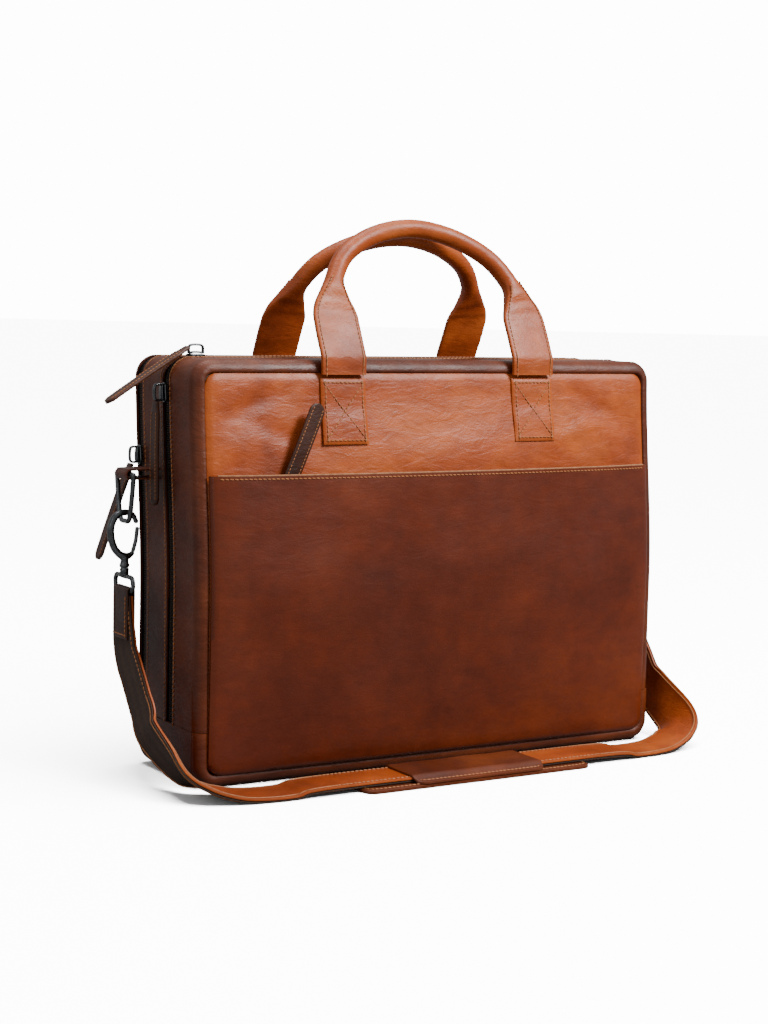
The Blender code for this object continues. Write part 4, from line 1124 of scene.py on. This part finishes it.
def make_adjuster():
    """A metal slide round the right-hand fall: a rounded oblong of flat wire."""
    centre, side, normal, half = strap_line()
    falls = np.nonzero(centre[:, 0] > HALF_WIDTH + 0.01)[0]
    k = falls[np.argmin(np.abs(centre[falls, 2] - 0.072))]
    a = np.linspace(0, 2 * np.pi, 72, endpoint=False)
    u = np.sign(np.cos(a)) * np.abs(np.cos(a)) ** 0.35 * 0.0201
    w = np.sign(np.sin(a)) * np.abs(np.sin(a)) ** 0.35 * 0.00375
    path = centre[k] + u[:, None] * side[k] + w[:, None] * normal[k]
    along = np.cross(side[k], normal[k])
    obj = sweep("strap_adjuster_metal", path, along, 0.0012, 0.0064, GUNMETAL, 4.0, 18, closed=True)
    place(obj, "strap_adjuster", "gunmetal", "strap_adjuster")


make_strap()
make_strap_ends()
make_pad()
make_adjuster()


# --- the rest of the frame keeps its own solids ----------------------------------------------------
KEPT = {"front_lining": LINING, "rear_lining": LINING, "inner_slip_pocket": LINING, "laptop_divider": LINING}
KEPT["base_board"] = BOARD
KEPT["front_pocket_zip_tape"] = TAPE
for node, material in KEPT.items():
    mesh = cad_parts[node].data
    mesh.materials.clear()
    mesh.materials.append(material)


# --- floor, light and camera ------------------------------------------------------------------------
def make_floor():
    """A studio floor that looks white and throws little light back up at the bag."""
    n = Nodes("pale_floor")
    seen = n.tree.nodes.new("ShaderNodeLightPath")
    colour = n.mix(seen.outputs["Is Camera Ray"], (FLOOR_BOUNCE,) * 3, (0.96, 0.96, 0.96))
    n.link(colour, n.shader.inputs["Base Color"])
    n.shader.inputs["Roughness"].default_value = 0.9
    n.shader.inputs["Specular IOR Level"].default_value = 0.0
    bpy.ops.mesh.primitive_plane_add(size=60, location=(0, 0, -0.0001))
    floor = bpy.context.object
    floor.name = "floor"
    floor.data.materials.append(n.material)
    lit = bpy.data.collections.new("floor_light_receivers")
    lit.objects.link(floor)
    data = bpy.data.lights.new("floor_light", "SUN")
    data.energy = FLOOR_LIGHT
    data.angle = np.radians(50)
    sun = bpy.data.objects.new("floor_light", data)
    sun.rotation_euler = np.radians((8, 10, 0))
    bpy.context.scene.collection.objects.link(sun)
    sun.light_linking.receiver_collection = lit


def add_light(name, place_at, aim, size, power, colour=(1, 1, 1)):
    data = bpy.data.lights.new(name, "AREA")
    data.shape = "RECTANGLE"
    data.size, data.size_y = size
    data.energy = power
    data.color = colour
    obj = bpy.data.objects.new(name, data)
    obj.location = place_at
    obj.rotation_euler = (Vector(aim) - Vector(place_at)).to_track_quat("-Z", "Y").to_euler()
    bpy.context.scene.collection.objects.link(obj)


def make_studio():
    world = bpy.data.worlds.new("studio")
    world.use_nodes = True
    back = world.node_tree.nodes["Background"]
    back.inputs["Color"].default_value = (1, 1, 1, 1)
    tree = world.node_tree
    seen = tree.nodes.new("ShaderNodeLightPath")
    strength = tree.nodes.new("ShaderNodeMapRange")
    strength.inputs["To Min"].default_value = SKY_AS_LIGHT
    strength.inputs["To Max"].default_value = SKY_AS_SEEN
    tree.links.new(seen.outputs["Is Camera Ray"], strength.inputs["Value"])
    tree.links.new(strength.outputs["Result"], back.inputs["Strength"])
    bpy.context.scene.world = world
    add_light("key", (0.9, -1.5, 1.7), (0, 0, 0.15), (0.8, 0.8), 95)
    add_light("fill", (-1.6, -0.8, 0.9), (0, 0, 0.15), (0.4, 1.2), 3)
    add_light("top", (0, 0.2, 2.0), (0, 0, 0.2), (1.6, 1.0), 30)


def make_camera():
    yaw, pitch, roll = np.radians((-31.24, 5.92, 1.32))
    back = np.array((np.sin(yaw) * np.cos(pitch), -np.cos(yaw) * np.cos(pitch), np.sin(pitch)))
    right = np.array((np.cos(yaw), np.sin(yaw), 0.0))
    up = np.cross(back, right)
    c, s = np.cos(roll), np.sin(roll)
    right, up = c * right + s * up, c * up - s * right
    data = bpy.data.cameras.new("camera")
    data.sensor_fit = "VERTICAL"
    data.sensor_height = 36
    data.lens = 70.4
    data.clip_end = 30
    obj = bpy.data.objects.new("camera", data)
    obj.matrix_world = rows(right, up, back, (-0.8001, -1.2842, 0.3402))
    bpy.context.scene.collection.objects.link(obj)
    bpy.context.scene.camera = obj


make_floor()
make_studio()
make_camera()
